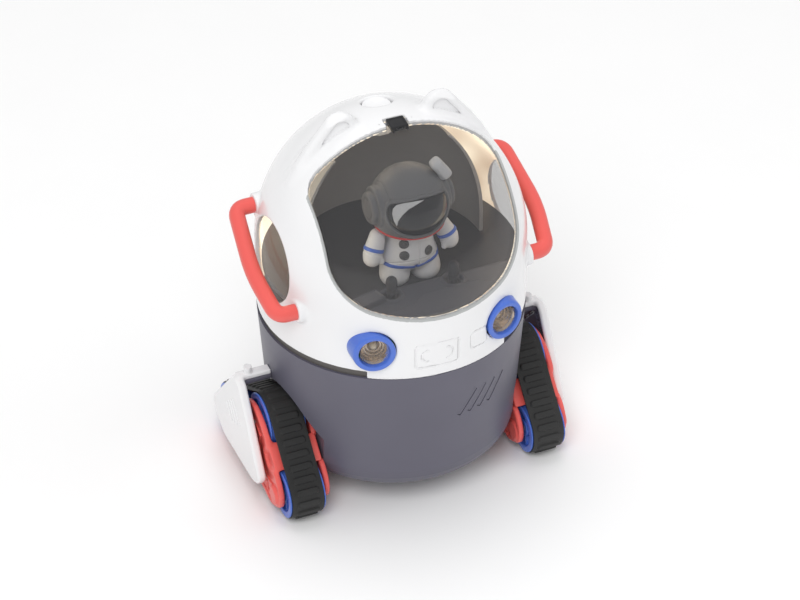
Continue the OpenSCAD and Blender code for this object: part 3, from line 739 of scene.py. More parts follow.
def canopy_outline(x, y, z):
    """The canopy opening, with its upper corners rounded off."""
    return smooth_max(window(x, z), y - WINDOW_EDGE_Y, 9)


def arch_share(y):
    """0 round the sides of the canopy opening, rising to 1 along its top arch, which has no bevel."""
    return np.clip((y - WINDOW_EDGE_Y + 7) / 5, 0, 1)


def dome_shell(x, y, z):
    outer = dome(x, y, z, 0)
    tab_edge = (np.abs(np.arctan2(x, -y)) - TAB_HALF_TURN) * BODY_R
    base = np.minimum(SKIRT_Z - z, np.maximum(SEAM_Z + 0.05 - z, tab_edge))
    shell = smooth_max(outer, base, 0.6)
    boss = np.minimum(away(y, z, HANDLE_LOW), away(y, z, HANDLE_HIGH)) - BOSS_R
    boss = smooth_max(boss, np.abs(np.abs(x) - BOSS_X) - 4.6, 0.8)
    shell = smooth_min(shell, boss, 1.6)
    shell = smooth_min(shell, ear(x, y, z), 4.5)
    near_tab = (z < SEAM_Z + 24) & (y < -50)
    shell = scored(shell, np.where(near_tab, tab_groove(x, y, z), 5.0), 0.45, 0.25, outer)
    from_button = np.hypot(x, y - BUTTON[1])
    cup = np.maximum(from_button - WELL_R - 2, CUP_LOW_Z - z)
    shell = cut(shell, cut(dome(x, y, z, WALL), cup, 0.6), 0.5)
    shell = cut(shell, slab(from_button - WELL_R, z - DOME_TOP, 16, 0.2), 2.2)
    window_cut = canopy_outline(x, y, z)
    bevel = (outer - window_cut) * math.sqrt(0.5) + WINDOW_BEVEL - 1.3 * arch_share(y)
    shell = smooth_max(cut(shell, window_cut, 0.2), np.where(z > BEVEL_LOW_Z, bevel, -9.0), 0.4)
    port = np.maximum(away(y, z, PORT) - PORT_R, 30 - np.abs(x))
    shell = cut(shell, port, 1.2)
    slot = block(x, y, z, (0, -10, HINGE[2]), (5.9, 7.0, 10), 0.4)
    shell = cut(shell, slot, 0.5)
    lamp = np.maximum(around_lamp(x, y, z, BEZEL_R + 0.05), y + 30)
    return cut(shell, lamp, 0.8)


def window_bevel_painted_shade(x, y, z):
    """A thin grey skin on the bevel round the canopy opening: painted shade, greying the white bevel where it
    faces away from the light.
    """
    outer = dome(x, y, z, 0)
    near = smooth_max(canopy_outline(x, y, z) - 2.6, outer + 0.2, 0.05)
    skin = smooth_max(dome_shell(x, y, z) - 0.22 + arch_share(y), -1.6 - outer, 0.05)
    return smooth_max(skin, near, 0.05)


def canopy(x, y, z):
    inset = 0.35
    skin = np.maximum(dome(x, y, z, inset), -dome(x, y, z, inset + 2.4))
    flat = canopy_outline(x, y, z) + 0.4
    return smooth_max(skin, flat, 0.8)


def porthole(x, y, z):
    skin = np.maximum(dome(x, y, z, 0.5), -dome(x, y, z, 2.9))
    flat = away(y, z, PORT) - PORT_R + 0.1
    return smooth_max(smooth_max(skin, flat, 0.9), 40 - x, 0.3)


dome_shape = surface(dome_shell, (-69, -71.5, SEAM_Z), (69, 71, EAR_TOP), 0.85)
moulding = piece("dome_moulding", dome_shape, WHITE, "dome_shell")


def on_painted_glow_wall(points, _):
    """Which points lie on the dome's inner wall, outside the button's well: the faces that get the painted
    glow.
    """
    from_button = np.hypot(points[:, 0], points[:, 1] - BUTTON[1])
    return (dome(*points.T, 0) < -WALL + 0.7) & (from_button > WELL_R + 3)


# The inner wall gets the material with the painted glow.
paint(moulding, on_painted_glow_wall, PAINTED_GLOW_LINING)
# The grey skin on the bevel is painted shade.
piece("window_bevel_painted_shade", surface(window_bevel_painted_shade, (-55, -71.5, WINDOW_LOW_Z - 3), (55, -5, DOME_TOP), 0.55), PAINTED_SHADE_EDGE)
piece("canopy_glass", surface(canopy, (-54, -71, WINDOW_LOW_Z), (54, -8, DOME_TOP), 0.9), SMOKED,
      "canopy_window", "canopy")
both_sides("{side}_porthole_glass", surface(porthole, (60, -25, 112), (71, 22, 160), 0.8), SIDE_GLASS,
           "{side}_porthole")


# ---------------------------------------------------------------- belts, wheels and track frames


BELT_LOW, BELT_HIGH = cad("right_track_belt")
BELT_X = (BELT_LOW[0] + BELT_HIGH[0]) / 2
BELT_HALF = (BELT_HIGH[0] - BELT_LOW[0]) / 2
FRONT, REAR, TOP = (pivot(f"right_{end}_spin") for end in ("front", "rear", "drive"))
LOW_R = FRONT[2]
TOP_R = BELT_HIGH[2] - TOP[2]
STOPS = [(*FRONT[1:], LOW_R), (*REAR[1:], LOW_R), (*TOP[1:], TOP_R)]
RIB_H, BELT_T, RIB_HALF_W, RIBS = 1.0, 1.0, 6.5, 40
RIB_START, RIB_SHARE = 0.2, 0.62
SPOKES = 5


def run_step(i):
    return np.array(STOPS[(i + 1) % 3]) - np.array(STOPS[i])


def run_angle(i):
    """The direction, seen from the side, that the belt's straight run after wheel stop i faces."""
    step = run_step(i)
    return math.atan2(step[1], step[0]) - math.acos(-step[2] / math.hypot(step[0], step[1]))


def belt_loop(s):
    """Points on the belt's face at distances s along it, the directions they face, and its length."""
    points, facing, start = np.zeros((len(s), 2)), np.zeros((len(s), 2)), 0.0
    for i, (y, z, r) in enumerate(STOPS):
        first, last = run_angle(i - 1), run_angle(i)
        turn = r * ((last - first) % (2 * math.pi))
        step = run_step(i)
        run = math.sqrt(step[0] ** 2 + step[1] ** 2 - step[2] ** 2)
        along = s - start
        here = (along >= 0) & (along < turn + run)
        angle = np.where(along < turn, first + along / r, last)[here]
        past = np.maximum(along[here] - turn, 0)
        facing[here] = np.stack([np.cos(angle), np.sin(angle)], 1)
        side = np.stack([-np.sin(angle), np.cos(angle)], 1)
        points[here] = np.array([y, z]) + r * facing[here] + past[:, None] * side
        start += turn + run
    return points, facing, start


def belt():
    """The right belt: a loop with raised, round-ended ribs across it."""
    total = belt_loop(np.zeros(1))[2]
    pitch = total / RIBS
    rise = [-0.03, 0.008, 0.03, 0.055, 0.085, 0.13, 0.2]
    marks = [0.05, 0.11] + [RIB_START + d for d in rise] + [RIB_START + RIB_SHARE / 2]
    marks += [RIB_START + RIB_SHARE - d for d in reversed(rise)] + [0.94]
    s = np.array([(rib + mark) * pitch for rib in range(RIBS) for mark in marks])
    half = [0, 2, 3.4, 4.5, 5.0, 5.5, 5.85, 6.1, 6.3, 6.45, 6.56, 6.8, 7.4, 8.1, BELT_HALF - 0.4]
    across = np.array([-u for u in reversed(half[1:])] + half)
    place = (s / pitch % 1 - RIB_START - RIB_SHARE / 2) * pitch
    inside = -slab(np.abs(place)[:, None] - RIB_SHARE / 2 * pitch, across[None], RIB_HALF_W, 1.7)
    t = np.clip(inside / 0.6, 0, 1)
    crown = 0.12 * np.clip(inside / 2.0, 0, 1)
    height = -RIB_H + (RIB_H - 0.12) * t * t * (3 - 2 * t) + crown
    low = -RIB_H - BELT_T
    edge = [(BELT_HALF - 0.12, -RIB_H - 0.1), (BELT_HALF, -RIB_H - 0.38), (BELT_HALF, low + 0.38),
            (BELT_HALF - 0.12, low + 0.1), (BELT_HALF - 0.4, low)]
    inner = [(5.0, low), (0.0, low), (-5.0, low)]
    rest = edge + inner + [(-u, h) for u, h in reversed(edge)]
    n, m = len(s), len(across) + len(rest)
    u = np.concatenate([across, [p[0] for p in rest]])
    h = np.concatenate([height, np.tile([p[1] for p in rest], (n, 1))], 1)
    face, facing, _ = belt_loop(s)
    points = np.zeros((n, m, 3))
    points[:, :, 0] = BELT_X + u
    points[:, :, 1:] = face[:, None] + h[:, :, None] * facing[:, None]
    return points.reshape(-1, 3), grid(n, m, closed=True), None


def wheel(centre, belt_r):
    """A wheel's field: flanged rim, sunk web with ribs and holes, and a hub."""
    r = belt_r - RIB_H - BELT_T - 0.3
    half = cad("right_front_wheel")[1][0] - BELT_X
    hole_ring = (r - 2.8 + 5) / 2
    share = 2 * math.pi / SPOKES

    def field(x, y, z):
        a = np.abs(x - BELT_X)
        q, turn = away(y, z, centre), np.arctan2(z - centre[2], y - centre[1])
        rim = slab(q - r, a, half, 0.4)
        flange = slab(q - r - 0.7, a - half + 0.45, 0.45, 0.35)
        shape = smooth_min(rim, flange, 0.4)
        fold = (turn + share / 2) % share - share / 2
        between = turn % share - share / 2
        spoke = np.maximum(np.abs(q * np.sin(between)) - 0.8, a - half + 1.5)
        sunk = np.maximum(np.maximum(q - r + 2.9, 5.0 - q), half - 2.7 - a)
        shape = cut(shape, smooth_max(sunk, -spoke, 0.5), 0.9)
        shape = cut(shape, np.maximum(q - 6, half - 0.7 - a), 0.6)
        hole = np.hypot(q * np.cos(fold) - hole_ring, q * np.sin(fold)) - 1.9
        return cut(cut(shape, hole, 0.7), q - 2.06, 0.3)

    reach = r + 0.8
    low = (BELT_X - half, centre[1] - reach, centre[2] - reach)
    return surface(field, low, (BELT_X + half, centre[1] + reach, centre[2] + reach), 0.6)


PLATE_HALF = 1.5
INNER_X = cad("right_inner_frame")[0][0] + PLATE_HALF
OUTER_X = cad("right_outer_frame")[0][0] + PLATE_HALF
BETWEEN_X, GAP_HALF = (INNER_X + OUTER_X) / 2, (OUTER_X - INNER_X) / 2
FRAME_SIDE = rounded(
    [(-10.6, 53.2), (-21.5, 49.0), (-28.4, 42.4), (-28.8, 38.0), (-25.6, 33.0), (-27.0, 29.4), (-31.5, 27.2),
     (-37.4, 30.2), (-43.4, 25.0), (-47.0, 18.0), (-45.8, 11.0), (-40.6, 7.4), (-31.8, 3.8), (-22, 6.2),
     (0, 7.4), (22, 6.2), (31.8, 3.8), (40.6, 7.4), (45.8, 11.0), (46.8, 18.0), (42.8, 24.6), (36.5, 29.2),
     (29, 28.6), (18, 35.0), (7, 44.0), (-1, 51.2)], 3.4, steps=2)


def near_axle(y, z):
    """Distance from the nearer of the front and rear axles, seen from the side."""
    return np.minimum(away(y, z, FRONT), away(y, z, REAR))


def frame_plate(x, y, z, middle_x, sign):
    """One red side plate of a track frame: rounded arms, sunk panels and its small holes."""
    flat = outline(y, z, FRAME_SIDE)
    plate = slab(flat, x - middle_x, PLATE_HALF, 1.1)
    out = (x - middle_x) * sign
    sunk = np.maximum(np.maximum(flat + 3.2, -flat - 8.5), 0.8 - out)
    plate = cut(plate, sunk, 0.7)
    lobe = slab(near_axle(y, z) - 5.4, x - middle_x - sign * 0.4, 1.8, 1.1)
    plate = smooth_min(plate, lobe, 1.0)
    oval = flat_bar(np.abs(y), z, (27.8, 10.8), (27.8, 15.6), 1.6)
    pin = away(np.abs(y), z, (32.6, 7.8)) - 0.9
    return cut(plate, np.minimum(oval, pin), 0.6)


def outer_frame(x, y, z):
    """The outer plate, with caps over the axles, two small stands and a web along the belt's front run."""
    plate = frame_plate(x, y, z, OUTER_X, 1)
    cap = slab(near_axle(y, z) - 5.0, x - OUTER_X - 0.7, 2.15, 1.0)
    plate = smooth_min(plate, cap, 1.2)
    v, w = y - FRONT[1], z - FRONT[2]
    length = away(TOP[1], TOP[2], FRONT)
    run = (TOP - FRONT)[1:] / length
    out, along = w * run[0] - v * run[1], v * run[0] + w * run[1]
    web = smooth_max(LOW_R - 0.6 - np.hypot(v, w), TOP_R - 0.4 - away(y, z, TOP), 1.0)
    web = smooth_max(web, np.abs(out - 6.6) - 4.2, 1.6)
    web = smooth_max(web, np.abs(along - length / 2) - length / 2, 1.0)
    shape = smooth_min(plate, slab(web, x - BETWEEN_X, GAP_HALF + 0.4, 0.8), 2.2)
    for spot in ((4, 31), (14, 20)):
        stand = slab(away(y, z, spot) - 4, x - OUTER_X - 1.45, 1.45, 0.3)
        shape = smooth_min(shape, stand, 0.8)
    return shape


def inner_frame(x, y, z):
    """The inner plate, with the tie that joins it to the outer one."""
    tie = slab(away(y, z, (0, 17)) - 2.2, x - BETWEEN_X, GAP_HALF - 1.5, 0.3)
    return smooth_min(frame_plate(x, y, z, INNER_X, -1), tie, 1.5)


# The legs: a white cover with a slate arm sunk into its inner side.
LEG_X = cad("right_leg_cover")[1][0]
ARM_X = cad("right_leg_arm")[1][0] - 2
LEG_TOP = cad("right_leg_arm")[1][2] + 3
LEG_SIDE = rounded([(-6.5, 63.5), (-2.5, 66), (4, 65), (35, 30), (36, 26), (32, 20), (21, 13), (-22, 13),
                    (-29, 16), (-32, 21)], 4.0, steps=3)
BRIDGE_Y, BRIDGE_HALF = 1.75, 2.75
PEG_X = 80.0
LINE_Z, LINE_STEP = 45.0, 4.4


def hull_face(x, y, z):
    """Distance outside the hull's conical wall."""
    return np.hypot(x, y) - (BODY_R - 4 * (SEAM_Z - z) / 56)


def leg_cover(x, y, z):
    """The white cover, hollow behind, with four moulded lines, half the bridge to the hull and a peg."""
    flat = outline(y, z, LEG_SIDE)
    mid, half = (LEG_X + ARM_X) / 2, (LEG_X - ARM_X) / 2
    shell = slab(flat, x - mid, half, 1.5)
    shell = cut(shell, np.maximum(flat + 2.4, x - ARM_X - 2.0), 0.5)
    down = y * 0.62 + (z - LINE_Z) * 0.79
    slant = y * 0.79 - (z - LINE_Z) * 0.62
    for n in range(4):
        row = 0.5 + LINE_STEP * n
        line = flat_bar(down, slant, (-8.0 + n * 1.2, row), (5.0 - n * 0.3, row), 0.0)
        shell = cut(shell, np.hypot(line, x - LEG_X - 0.25) - 0.85, 0.5)
    skin = block(x, y, z, (70, BRIDGE_Y, LEG_TOP - 1.5), (16, BRIDGE_HALF, 1.5), 0.9)
    skin = smooth_max(skin, 0.05 - hull_face(x, y, z), 0.3)
    cover = smooth_min(shell, skin, 2.0)
    peg = np.maximum(np.hypot(x - PEG_X, y - BRIDGE_Y) - 2.2, np.abs(z - LEG_TOP - 1.5) - 2.5)
    return smooth_min(cover, smooth_max(peg, z - LEG_TOP - 4, 0.6), 0.7)


def leg_arm(x, y, z):
    """The slate panel behind the cover, with a lined border and the lower half of the bridge."""
    flat = outline(y, z, LEG_SIDE)
    panel = slab(flat + 2.65, x - ARM_X - 1.2, 0.75, 0.4)
    panel = cut(panel, np.maximum(np.abs(np.abs(flat + 6.5) - 0.5) - 0.3, x - ARM_X - 0.9), 0.2)
    bridge = block(x, y, z, (71, BRIDGE_Y, LEG_TOP - 4.6), (13.8, BRIDGE_HALF - 0.2, 1.8), 1.2)
    bridge = np.maximum(bridge, 0.05 - hull_face(x, y, z))
    shape = smooth_min(panel, bridge, 2.5)
    return cut(shape, near_axle(y, z) - 5.6, 0.4)


both_sides("{side}_ribbed_belt", belt(), RUBBER, "{side}_track_belt")
low_wheel = wheel(FRONT, LOW_R)
rear_wheel = moved(low_wheel, REAR - FRONT)
for end, label, shape in (("front", "front_road", low_wheel), ("rear", "rear_road", rear_wheel),
                          ("drive", "top_drive", wheel(TOP, TOP_R))):
    both_sides("{side}_" + label + "_wheel", shape, BLUE, "{side}_" + end + "_wheel", "{side}_" + end)
both_sides("{side}_outer_track_frame", surface(outer_frame, (55, -48, 3), (84, 48, 54), 0.7), RED,
           "{side}_outer_frame")
both_sides("{side}_inner_track_frame", surface(inner_frame, (53, -48, 3), (80, 48, 54), 0.7), RED,
           "{side}_inner_frame")
both_sides("{side}_leg_shell", surface(leg_cover, (55, -32, 6), (LEG_X, 37, LEG_TOP + 4), 0.7), WHITE,
           "{side}_leg_cover")
both_sides("{side}_leg_panel", surface(leg_arm, (55, -32, 6), (87, 37, LEG_TOP), 0.7), SLATE, "{side}_leg_arm")


# ---------------------------------------------------------------- handles, lamps, button and latch


def even(path, step):
    """The path's points again, spaced evenly."""
    path = np.array(path, float)
    run = np.concatenate([[0], np.cumsum(np.linalg.norm(np.diff(path, axis=0), axis=1))])
    spots = np.linspace(0, run[-1], int(run[-1] / step) + 1)
    return np.stack([np.interp(spots, run, path[:, n]) for n in range(3)], 1)


HANDLE_R = 4.2
HANDLE_X = cad("right_handle")[1][0] - HANDLE_R
HANDLE_END_X = 62.0
HANDLE_PATH = [(HANDLE_END_X, *HANDLE_LOW), (HANDLE_X - 4, *HANDLE_LOW), (HANDLE_X, -7, 134.5),
               (HANDLE_X - 4, *HANDLE_HIGH), (HANDLE_END_X, *HANDLE_HIGH)]
handle = tube(even(rounded(HANDLE_PATH, 10, closed=False, steps=10), 1.2), HANDLE_R, 32)
both_sides("{side}_grab_handle", handle, RED, "{side}_handle")


def at_lamp(shape, back=LAMP_IN):
    """A lathed shape with its height as depth into the right lamp, put in place. It may run back aslant."""
    points, quads, _ = shape
    side = np.cross(LAMP_IN, [0, 0, 1])
    return points @ np.array([side, np.cross(LAMP_IN, side), back]) + LAMP, quads, None


BEZEL = [(BEZEL_R, 11.5), (BEZEL_R, 0.9), (BEZEL_R - 0.5, 0.1), (9.4, 0.0), (8.3, 0.2), (8.0, 0.8), (7.7, 2.6),
         (7.5, 2.8), (7.5, 5), (10, 5), (10, 11.5)]
BULGE = [(0, 0.2), (2.5, 0.27), (4.6, 0.5), (6.4, 0.85), (7.4, 1.25), (7.75, 1.7), (7.75, 2.2), (7.2, 2.1),
         (4.6, 1.5), (0, 1.2)]
BOWL = [(7.4, 2.2), (7.1, 2.7), (6.7, 3.1), (6.55, 4.2), (6.0, 5.4), (5.7, 5.3), (5.2, 6.7), (4.6, 6.7),
        (4.0, 7.9), (3.3, 7.9), (2.7, 8.9), (2.0, 9.2), (2.0, 10), (7.4, 10)]
BULB = [(0, 5.6), (0.8, 5.7), (1.5, 6.2), (1.8, 7.0), (1.8, 10), (0, 10)]
STRAIGHT_BACK = np.array([0.0, 1.0, 0.0])
both_sides("{side}_lamp_ring", at_lamp(lathe(rounded(BEZEL, 0.6, steps=3), 96), STRAIGHT_BACK), BLUE,
           "{side}_lamp_bezel")
both_sides("{side}_lamp_glass", at_lamp(lathe(BULGE, closed=False)), LENS, "{side}_lamp_lens")
both_sides("{side}_lamp_bowl", at_lamp(lathe(BOWL)), MIRROR, "{side}_lamp_reflector")
bulb = at_lamp(lathe(BULB, 32, closed=False))
piece("lamp_bulbs", joined(bulb, mirrored(bulb)), LED, "lamp_leds")

BUTTON_LOW = cad("top_button")[0][2]
low = BUTTON_TOP - 4
dish = [(0, BUTTON_TOP - 1.3), (2.5, BUTTON_TOP - 1.2), (4.8, BUTTON_TOP - 0.85), (6.3, BUTTON_TOP - 0.25),
        (6.9, BUTTON_TOP), (7.35, BUTTON_TOP - 0.12), (7.6, BUTTON_TOP - 0.6), (7.6, low), (3.0, low - 0.3),
        (3.0, BUTTON_LOW), (0, BUTTON_LOW)]
piece("dished_button", moved(lathe(dish, 96, closed=False), (0, BUTTON[1], 0)), WHITE, "top_button", "button")


def latch(x, y, z):
    """The canopy's dark catch on top, with a finger dip and a raised frame."""
    rise = z - (DOME_TOP - (y * y) / 140)
    body = block(x, y, rise, (0, -8.3, -0.6), (4.7, 4.0, 1.2), 0.5)
    dip = block(x, y, rise, (0, -8.2, 0.9), (3.5, 2.8, 0.8), 0.4)
    teeth = block(np.abs(x), y, rise, (3.6, -12.6, -0.8), (0.7, 1.0, 0.8), 0.3)
    return smooth_min(cut(body, dip, 0.3), teeth, 0.4)


piece("canopy_catch", surface(latch, (-5.5, -15, 201), (5.5, -3, 207), 0.3), VISOR, body="canopy")

SLOT_PITCH = 6.2
SLOT_X, SLOT_Z = 14.0, 67.0
SLOT_LEAN = math.radians(35)


def slot_floor(x, y, z):
    """Floors of the four slanting sound slots, a little below the hull's face."""
    skin = np.abs(hull_face(x, y, z) + 0.9) - 0.65
    across, along = turned(x - SLOT_X, z - SLOT_Z, SLOT_LEAN)
    step = SLOT_PITCH * math.cos(SLOT_LEAN)
    nearest = np.clip(np.round(across / step), 0, 3)
    shift = nearest * SLOT_PITCH * math.sin(SLOT_LEAN)
    flat = np.maximum(np.abs(across - nearest * step) - 1.15, np.abs(along - shift) - 8.4)
    return smooth_max(skin, flat, 0.1)


piece("sound_slot_floors", surface(slot_floor, (5, -70, 56), (41, -50, 78), 0.45), SLATE)


# ---------------------------------------------------------------- cabin: console, sticks and astronaut


CONSOLE_EDGE = -36.0
CONSOLE_R = 66.3
STICK = pivot("right_stick_tilt")
BOARD_SIDE = [(-62, -70), (-34, -58), (-12, -54), (-3, -47.5), (28, -47), (36, -52), (62, -70), (0, -90)]


def console(x, y, z):
    """Console top with a raised front board, a switch box, and rings round the sticks."""
    q = np.hypot(x, y)
    edge = smooth_max(q - CONSOLE_R, y - CONSOLE_EDGE, 1.5)
    top = slab(edge, z - CONSOLE_Z + 1.25, 1.25, 0.8)
    wall = block(x, y, z, (0, CONSOLE_EDGE - 1.2, 118.5), (56, 1.2, 7), 0.6)
    shape = smooth_min(top, np.maximum(wall, q - CONSOLE_R), 1.0)
    board = slab(smooth_max(outline(x, y, BOARD_SIDE), q - 65.8, 1.0), z - CONSOLE_Z - 0.6, 1.1, 0.8)
    shape = smooth_min(shape, board, 0.8)
    u, v = turned(x + 30, y + 43, math.radians(-14))
    box = block(u, v, z, (0, 0, CONSOLE_Z + 1), (7.4, 4.4, 2.6), 0.6)
    lid = block(u, v, z, (0, 0, CONSOLE_Z + 3.7), (6.2, 3.3, 0.5), 0.3)
    shape = smooth_min(shape, cut(box, lid, 0.3), 0.6)
    around = np.hypot(np.abs(x) - STICK[0], y - STICK[1])
    ring = np.hypot(around - 5.4, z - CONSOLE_Z - 0.2) - 0.9
    shape = smooth_min(shape, ring, 0.9)
    return cut(shape, around - 3.9, 0.6)


piece("console_top", surface(console, (-60, -67, 111), (60, CONSOLE_EDGE + 1, 132), 0.8), PANEL, "console")

STEM = [(0, STICK[2] - 2), (2.1, STICK[2] - 2), (2.1, STICK[2] + 1), (2.1, 126.5), (2.7, 127.2), (2.7, 128.4),
        (2.3, 128.9), (2.7, 129.4), (2.7, 130.4), (2.35, 130.9), (2.95, 131.5), (3.0, 134.4), (2.7, 135.8),
        (1.9, 136.8), (0.9, 137.2), (0, 137.3)]
stick = moved(lathe(STEM[::-1], 40, closed=False), (STICK[0], STICK[1], 0))
both_sides("{side}_control_stick", stick, DARK, "{side}_joystick", "{side}_stick")

SOLE_Z = cad("astronaut_body")[0][2]
SHOULDER = pivot("right_arm_swing")
HAND = np.array([SHOULDER[0] + 4.2, FIGURE_Y - 3, SHOULDER[2] - 10.0])
DOWN_ARM = (HAND - SHOULDER) / np.linalg.norm(HAND - SHOULDER)
ARM_R = 4.3
BAND_Z = SOLE_Z + 12.0
LEG_AXIS_X = 8.0


def torso(x, y, z):
    u = np.abs(x)
    trunk = bar(x / 1.22, y, z, (0, FIGURE_Y, BAND_Z + 5), (0, FIGURE_Y, SHOULDER[2] - 3), 11.4, 10.0)
    foot = (LEG_AXIS_X + 0.4, FIGURE_Y - 1.6, SOLE_Z + 5)
    leg = bar(u, y, z, (LEG_AXIS_X - 0.4, FIGURE_Y, BAND_Z + 1), foot, 7.5, 7.9)
    leg = smooth_max(leg, SOLE_Z - z, 1.6)
    trunk = smooth_max(trunk, z - cad("astronaut_collar")[0][2] - 1.2, 1.5)
    shape = smooth_min(trunk, leg, 2.2)
    gap = np.maximum(u - 0.5, z - BAND_Z - 1)
    shape = cut(shape, gap, 1.4)
    neck = np.maximum(np.hypot(x, y - FIGURE_Y) - 3.0, np.abs(z - SHOULDER[2] - 2) - 6)
    shape = smooth_min(shape, neck, 1.5)
    seam = np.where((y < FIGURE_Y) & (z > BAND_Z + 2), np.abs(x - 1.6), 5.0)
    shape = scored(shape, seam, 0.42, 0.3)
    shape = scored(shape, z - BAND_Z - 4.4 + 0.012 * x * x, 0.36, 0.3)
    socket = ball(u, y, z, SHOULDER + np.array([0.4, 0, 0]), ARM_R + 0.3)
    return cut(shape, socket, 0.8)


def torso_band(x, y, z):
    """Blue band round each thigh."""
    skin = torso(x, y, z)
    tilt = z - BAND_Z + 0.4 - 0.12 * np.abs(x)
    return smooth_max(np.abs(skin + 0.1) - 0.45, np.abs(tilt) - 0.95, 0.3)


def sleeve(x, y, z):
    """The right sleeve's field, and the distance down the arm from the shoulder."""
    along = (x - SHOULDER[0]) * DOWN_ARM[0] + (y - SHOULDER[1]) * DOWN_ARM[1] + (z - SHOULDER[2]) * DOWN_ARM[2]
    return bar(x, y, z, SHOULDER, HAND + np.array([-0.6, 0.4, 3.0]), ARM_R, 5.0), along


def arm(x, y, z):
    upper, along = sleeve(x, y, z)
    hand = ball(x, y, z, HAND, 4.7)
    thumb = bar(x, y, z, HAND + np.array([-3.0, -1.6, 1.0]), HAND + np.array([-4.0, -2.6, -1.8]), 1.7, 1.5)
    shape = smooth_min(smooth_min(upper, hand, 1.2), thumb, 1.2)
    return scored(shape, along - 8.6, 0.4, 0.3)


def arm_band(x, y, z):
    """Blue band round the cuff."""
    skin, along = sleeve(x, y, z)
    return smooth_max(np.abs(skin + 0.1) - 0.5, np.abs(along - 6.6) - 0.9, 0.3)


figure_low = np.array([-18, FIGURE_Y - 13, SOLE_Z])
figure_high = np.array([18, FIGURE_Y + 13, SHOULDER[2] + 9])
piece("astronaut_suit", surface(torso, figure_low, figure_high, 0.55), SUIT, "astronaut_body")
figure_low[2], figure_high[2] = BAND_Z - 2, BAND_Z + 4
piece("astronaut_thigh_bands", surface(torso_band, figure_low, figure_high, 0.4), BLUE)
arm_low, arm_high = HAND - 6, SHOULDER + 5
arm_high[0] = HAND[0] + 6
arm_shapes = [surface(arm, arm_low, arm_high, 0.5), surface(arm_band, arm_low, arm_high, 0.35)]
for side, (sleeve_shape, cuff_shape) in (("right", arm_shapes), ("left", [mirrored(s) for s in arm_shapes])):
    body = f"astronaut_{side}_arm_body"
    piece(f"astronaut_{side}_sleeve", sleeve_shape, SUIT, f"astronaut_{side}_arm", body)
    piece(f"astronaut_{side}_cuff", cuff_shape, BLUE, body=body)


def chest_button(x, z):
    """A round knob on the suit, its height following the chest."""
    reach = np.linspace(FIGURE_Y - 16, FIGURE_Y - 5, 400)
    skin = reach[np.argmax(torso(np.full(400, x), reach, np.full(400, z)) < 0)]
    knob = [(0, 0.85), (1.0, 0.85), (1.15, 0.5), (1.6, 0.5), (1.75, 0.85), (2.3, 0.8), (2.6, 0.3), (2.6, -1.4),
            (0, -1.4)]
    points, quads, _ = lathe(rounded(knob, 0.15, closed=False, steps=2), 36, closed=False)
    lean = math.asin(max(-0.8, min(0.8, x / 16)))
    u, v = turned(points[:, 0], -points[:, 2], lean)
    return np.stack([u, v, points[:, 1]], 1) + np.array([x, skin, z]), quads, None


piece("astronaut_knobs", joined(chest_button(-6.2, BAND_Z + 14.2), chest_button(-6.4, BAND_Z + 7.8),
                                chest_button(6.8, BAND_Z + 7.6)), KNOB)


# ---------------------------------------------------------------- helmet


def around_head(x, y, z):
    """Turn and rise, in degrees, seen from the helmet's middle, with 0, 0 to the front."""
    v, w = y - HELMET[1], z - HELMET[2]
    return np.degrees(np.arctan2(x, -v)), np.degrees(np.arctan2(w, np.hypot(x, v)))


VISOR_SIDE = rounded([(-56, 26), (-30, 34), (0, 37.5), (30, 34), (56, 26), (57, 12), (49, -6), (33, -20),
                      (13, -26), (-13, -26), (-33, -20), (-49, -6), (-57, 12)], 7, steps=3)
# Outline of the visor's painted reflection, in degrees of turn and rise.
REFLECTION_STRIPE_SIDE = [(-48, 14), (-48, 22), (-43, 28.5), (-30, 33), (-11, 35), (6, 34.5), (-7, 31), (-23, 24),
              (-32, 15), (-38, 5), (-40, -5), (-45, 4)]
DEGREE = HELMET_R * math.pi / 180


def opening(x, y, z):
    """Distance, along the helmet's surface, outside the face opening."""
    turn, rise = around_head(x, y, z)
    return outline(turn, rise, VISOR_SIDE) * DEGREE


def helmet(x, y, z):
    """The hood: a hollow ball with a rim round the face opening, an ear pod each side, and moulded lines."""
    shell = ball(x, y, z, HELMET, HELMET_R)
    inner = ball(x, y, z, HELMET, HELMET_R - 1.6)
    flat = opening(x, y, z)
    rim = smooth_max(np.abs(flat - 0.9) - 1.1, shell - 0.45, 0.5)
    shape = smooth_min(shell, np.maximum(rim, -shell - 1), 0.5)
    shape = cut(shape, np.maximum(flat, -shell - 6), 0.5)
    shape = cut(shape, inner, 0.3)
    foot = cad("astronaut_helmet")[0][2] - z
    shape = smooth_max(shape, foot, 0.8)
    u = np.abs(x)
    v, w = y - HELMET[1] - 0.5, z - HELMET[2] - 1.5
    q = np.hypot(v, w)
    base = slab(q - 10.8, u - 16.0, 3.4, 1.2)
    disc = slab(q - 8.4, u - 18.8, 3.6, 1.7)
    pod = smooth_min(base, disc, 0.3)
    pod = cut(pod, np.maximum(np.abs(q - 5.4) - 0.3, 22.0 - u), 0.2)
    shape = smooth_min(shape, np.maximum(pod, HELMET_R - 3.4 - np.sqrt(u * u + v * v + w * w)), 0.8)
    turn, rise = around_head(u, y, z)
    strap = np.abs(np.hypot(turn - 88, rise - 4) - 42) * DEGREE
    brow = np.where(turn < 56, np.abs(rise - 42 + turn * 0.16) * DEGREE, 5.0)
    groove = np.minimum(np.where(rise > 8, strap, 5.0), brow)
    return scored(shape, groove, 0.3, 0.25)


def visor(x, y, z):
    skin = ball(x, y, z, HELMET, HELMET_R - 0.35)
    shell = np.maximum(skin, -ball(x, y, z, HELMET, HELMET_R - 1.9))
    return smooth_max(shell, opening(x, y, z) + 0.25, 0.6)


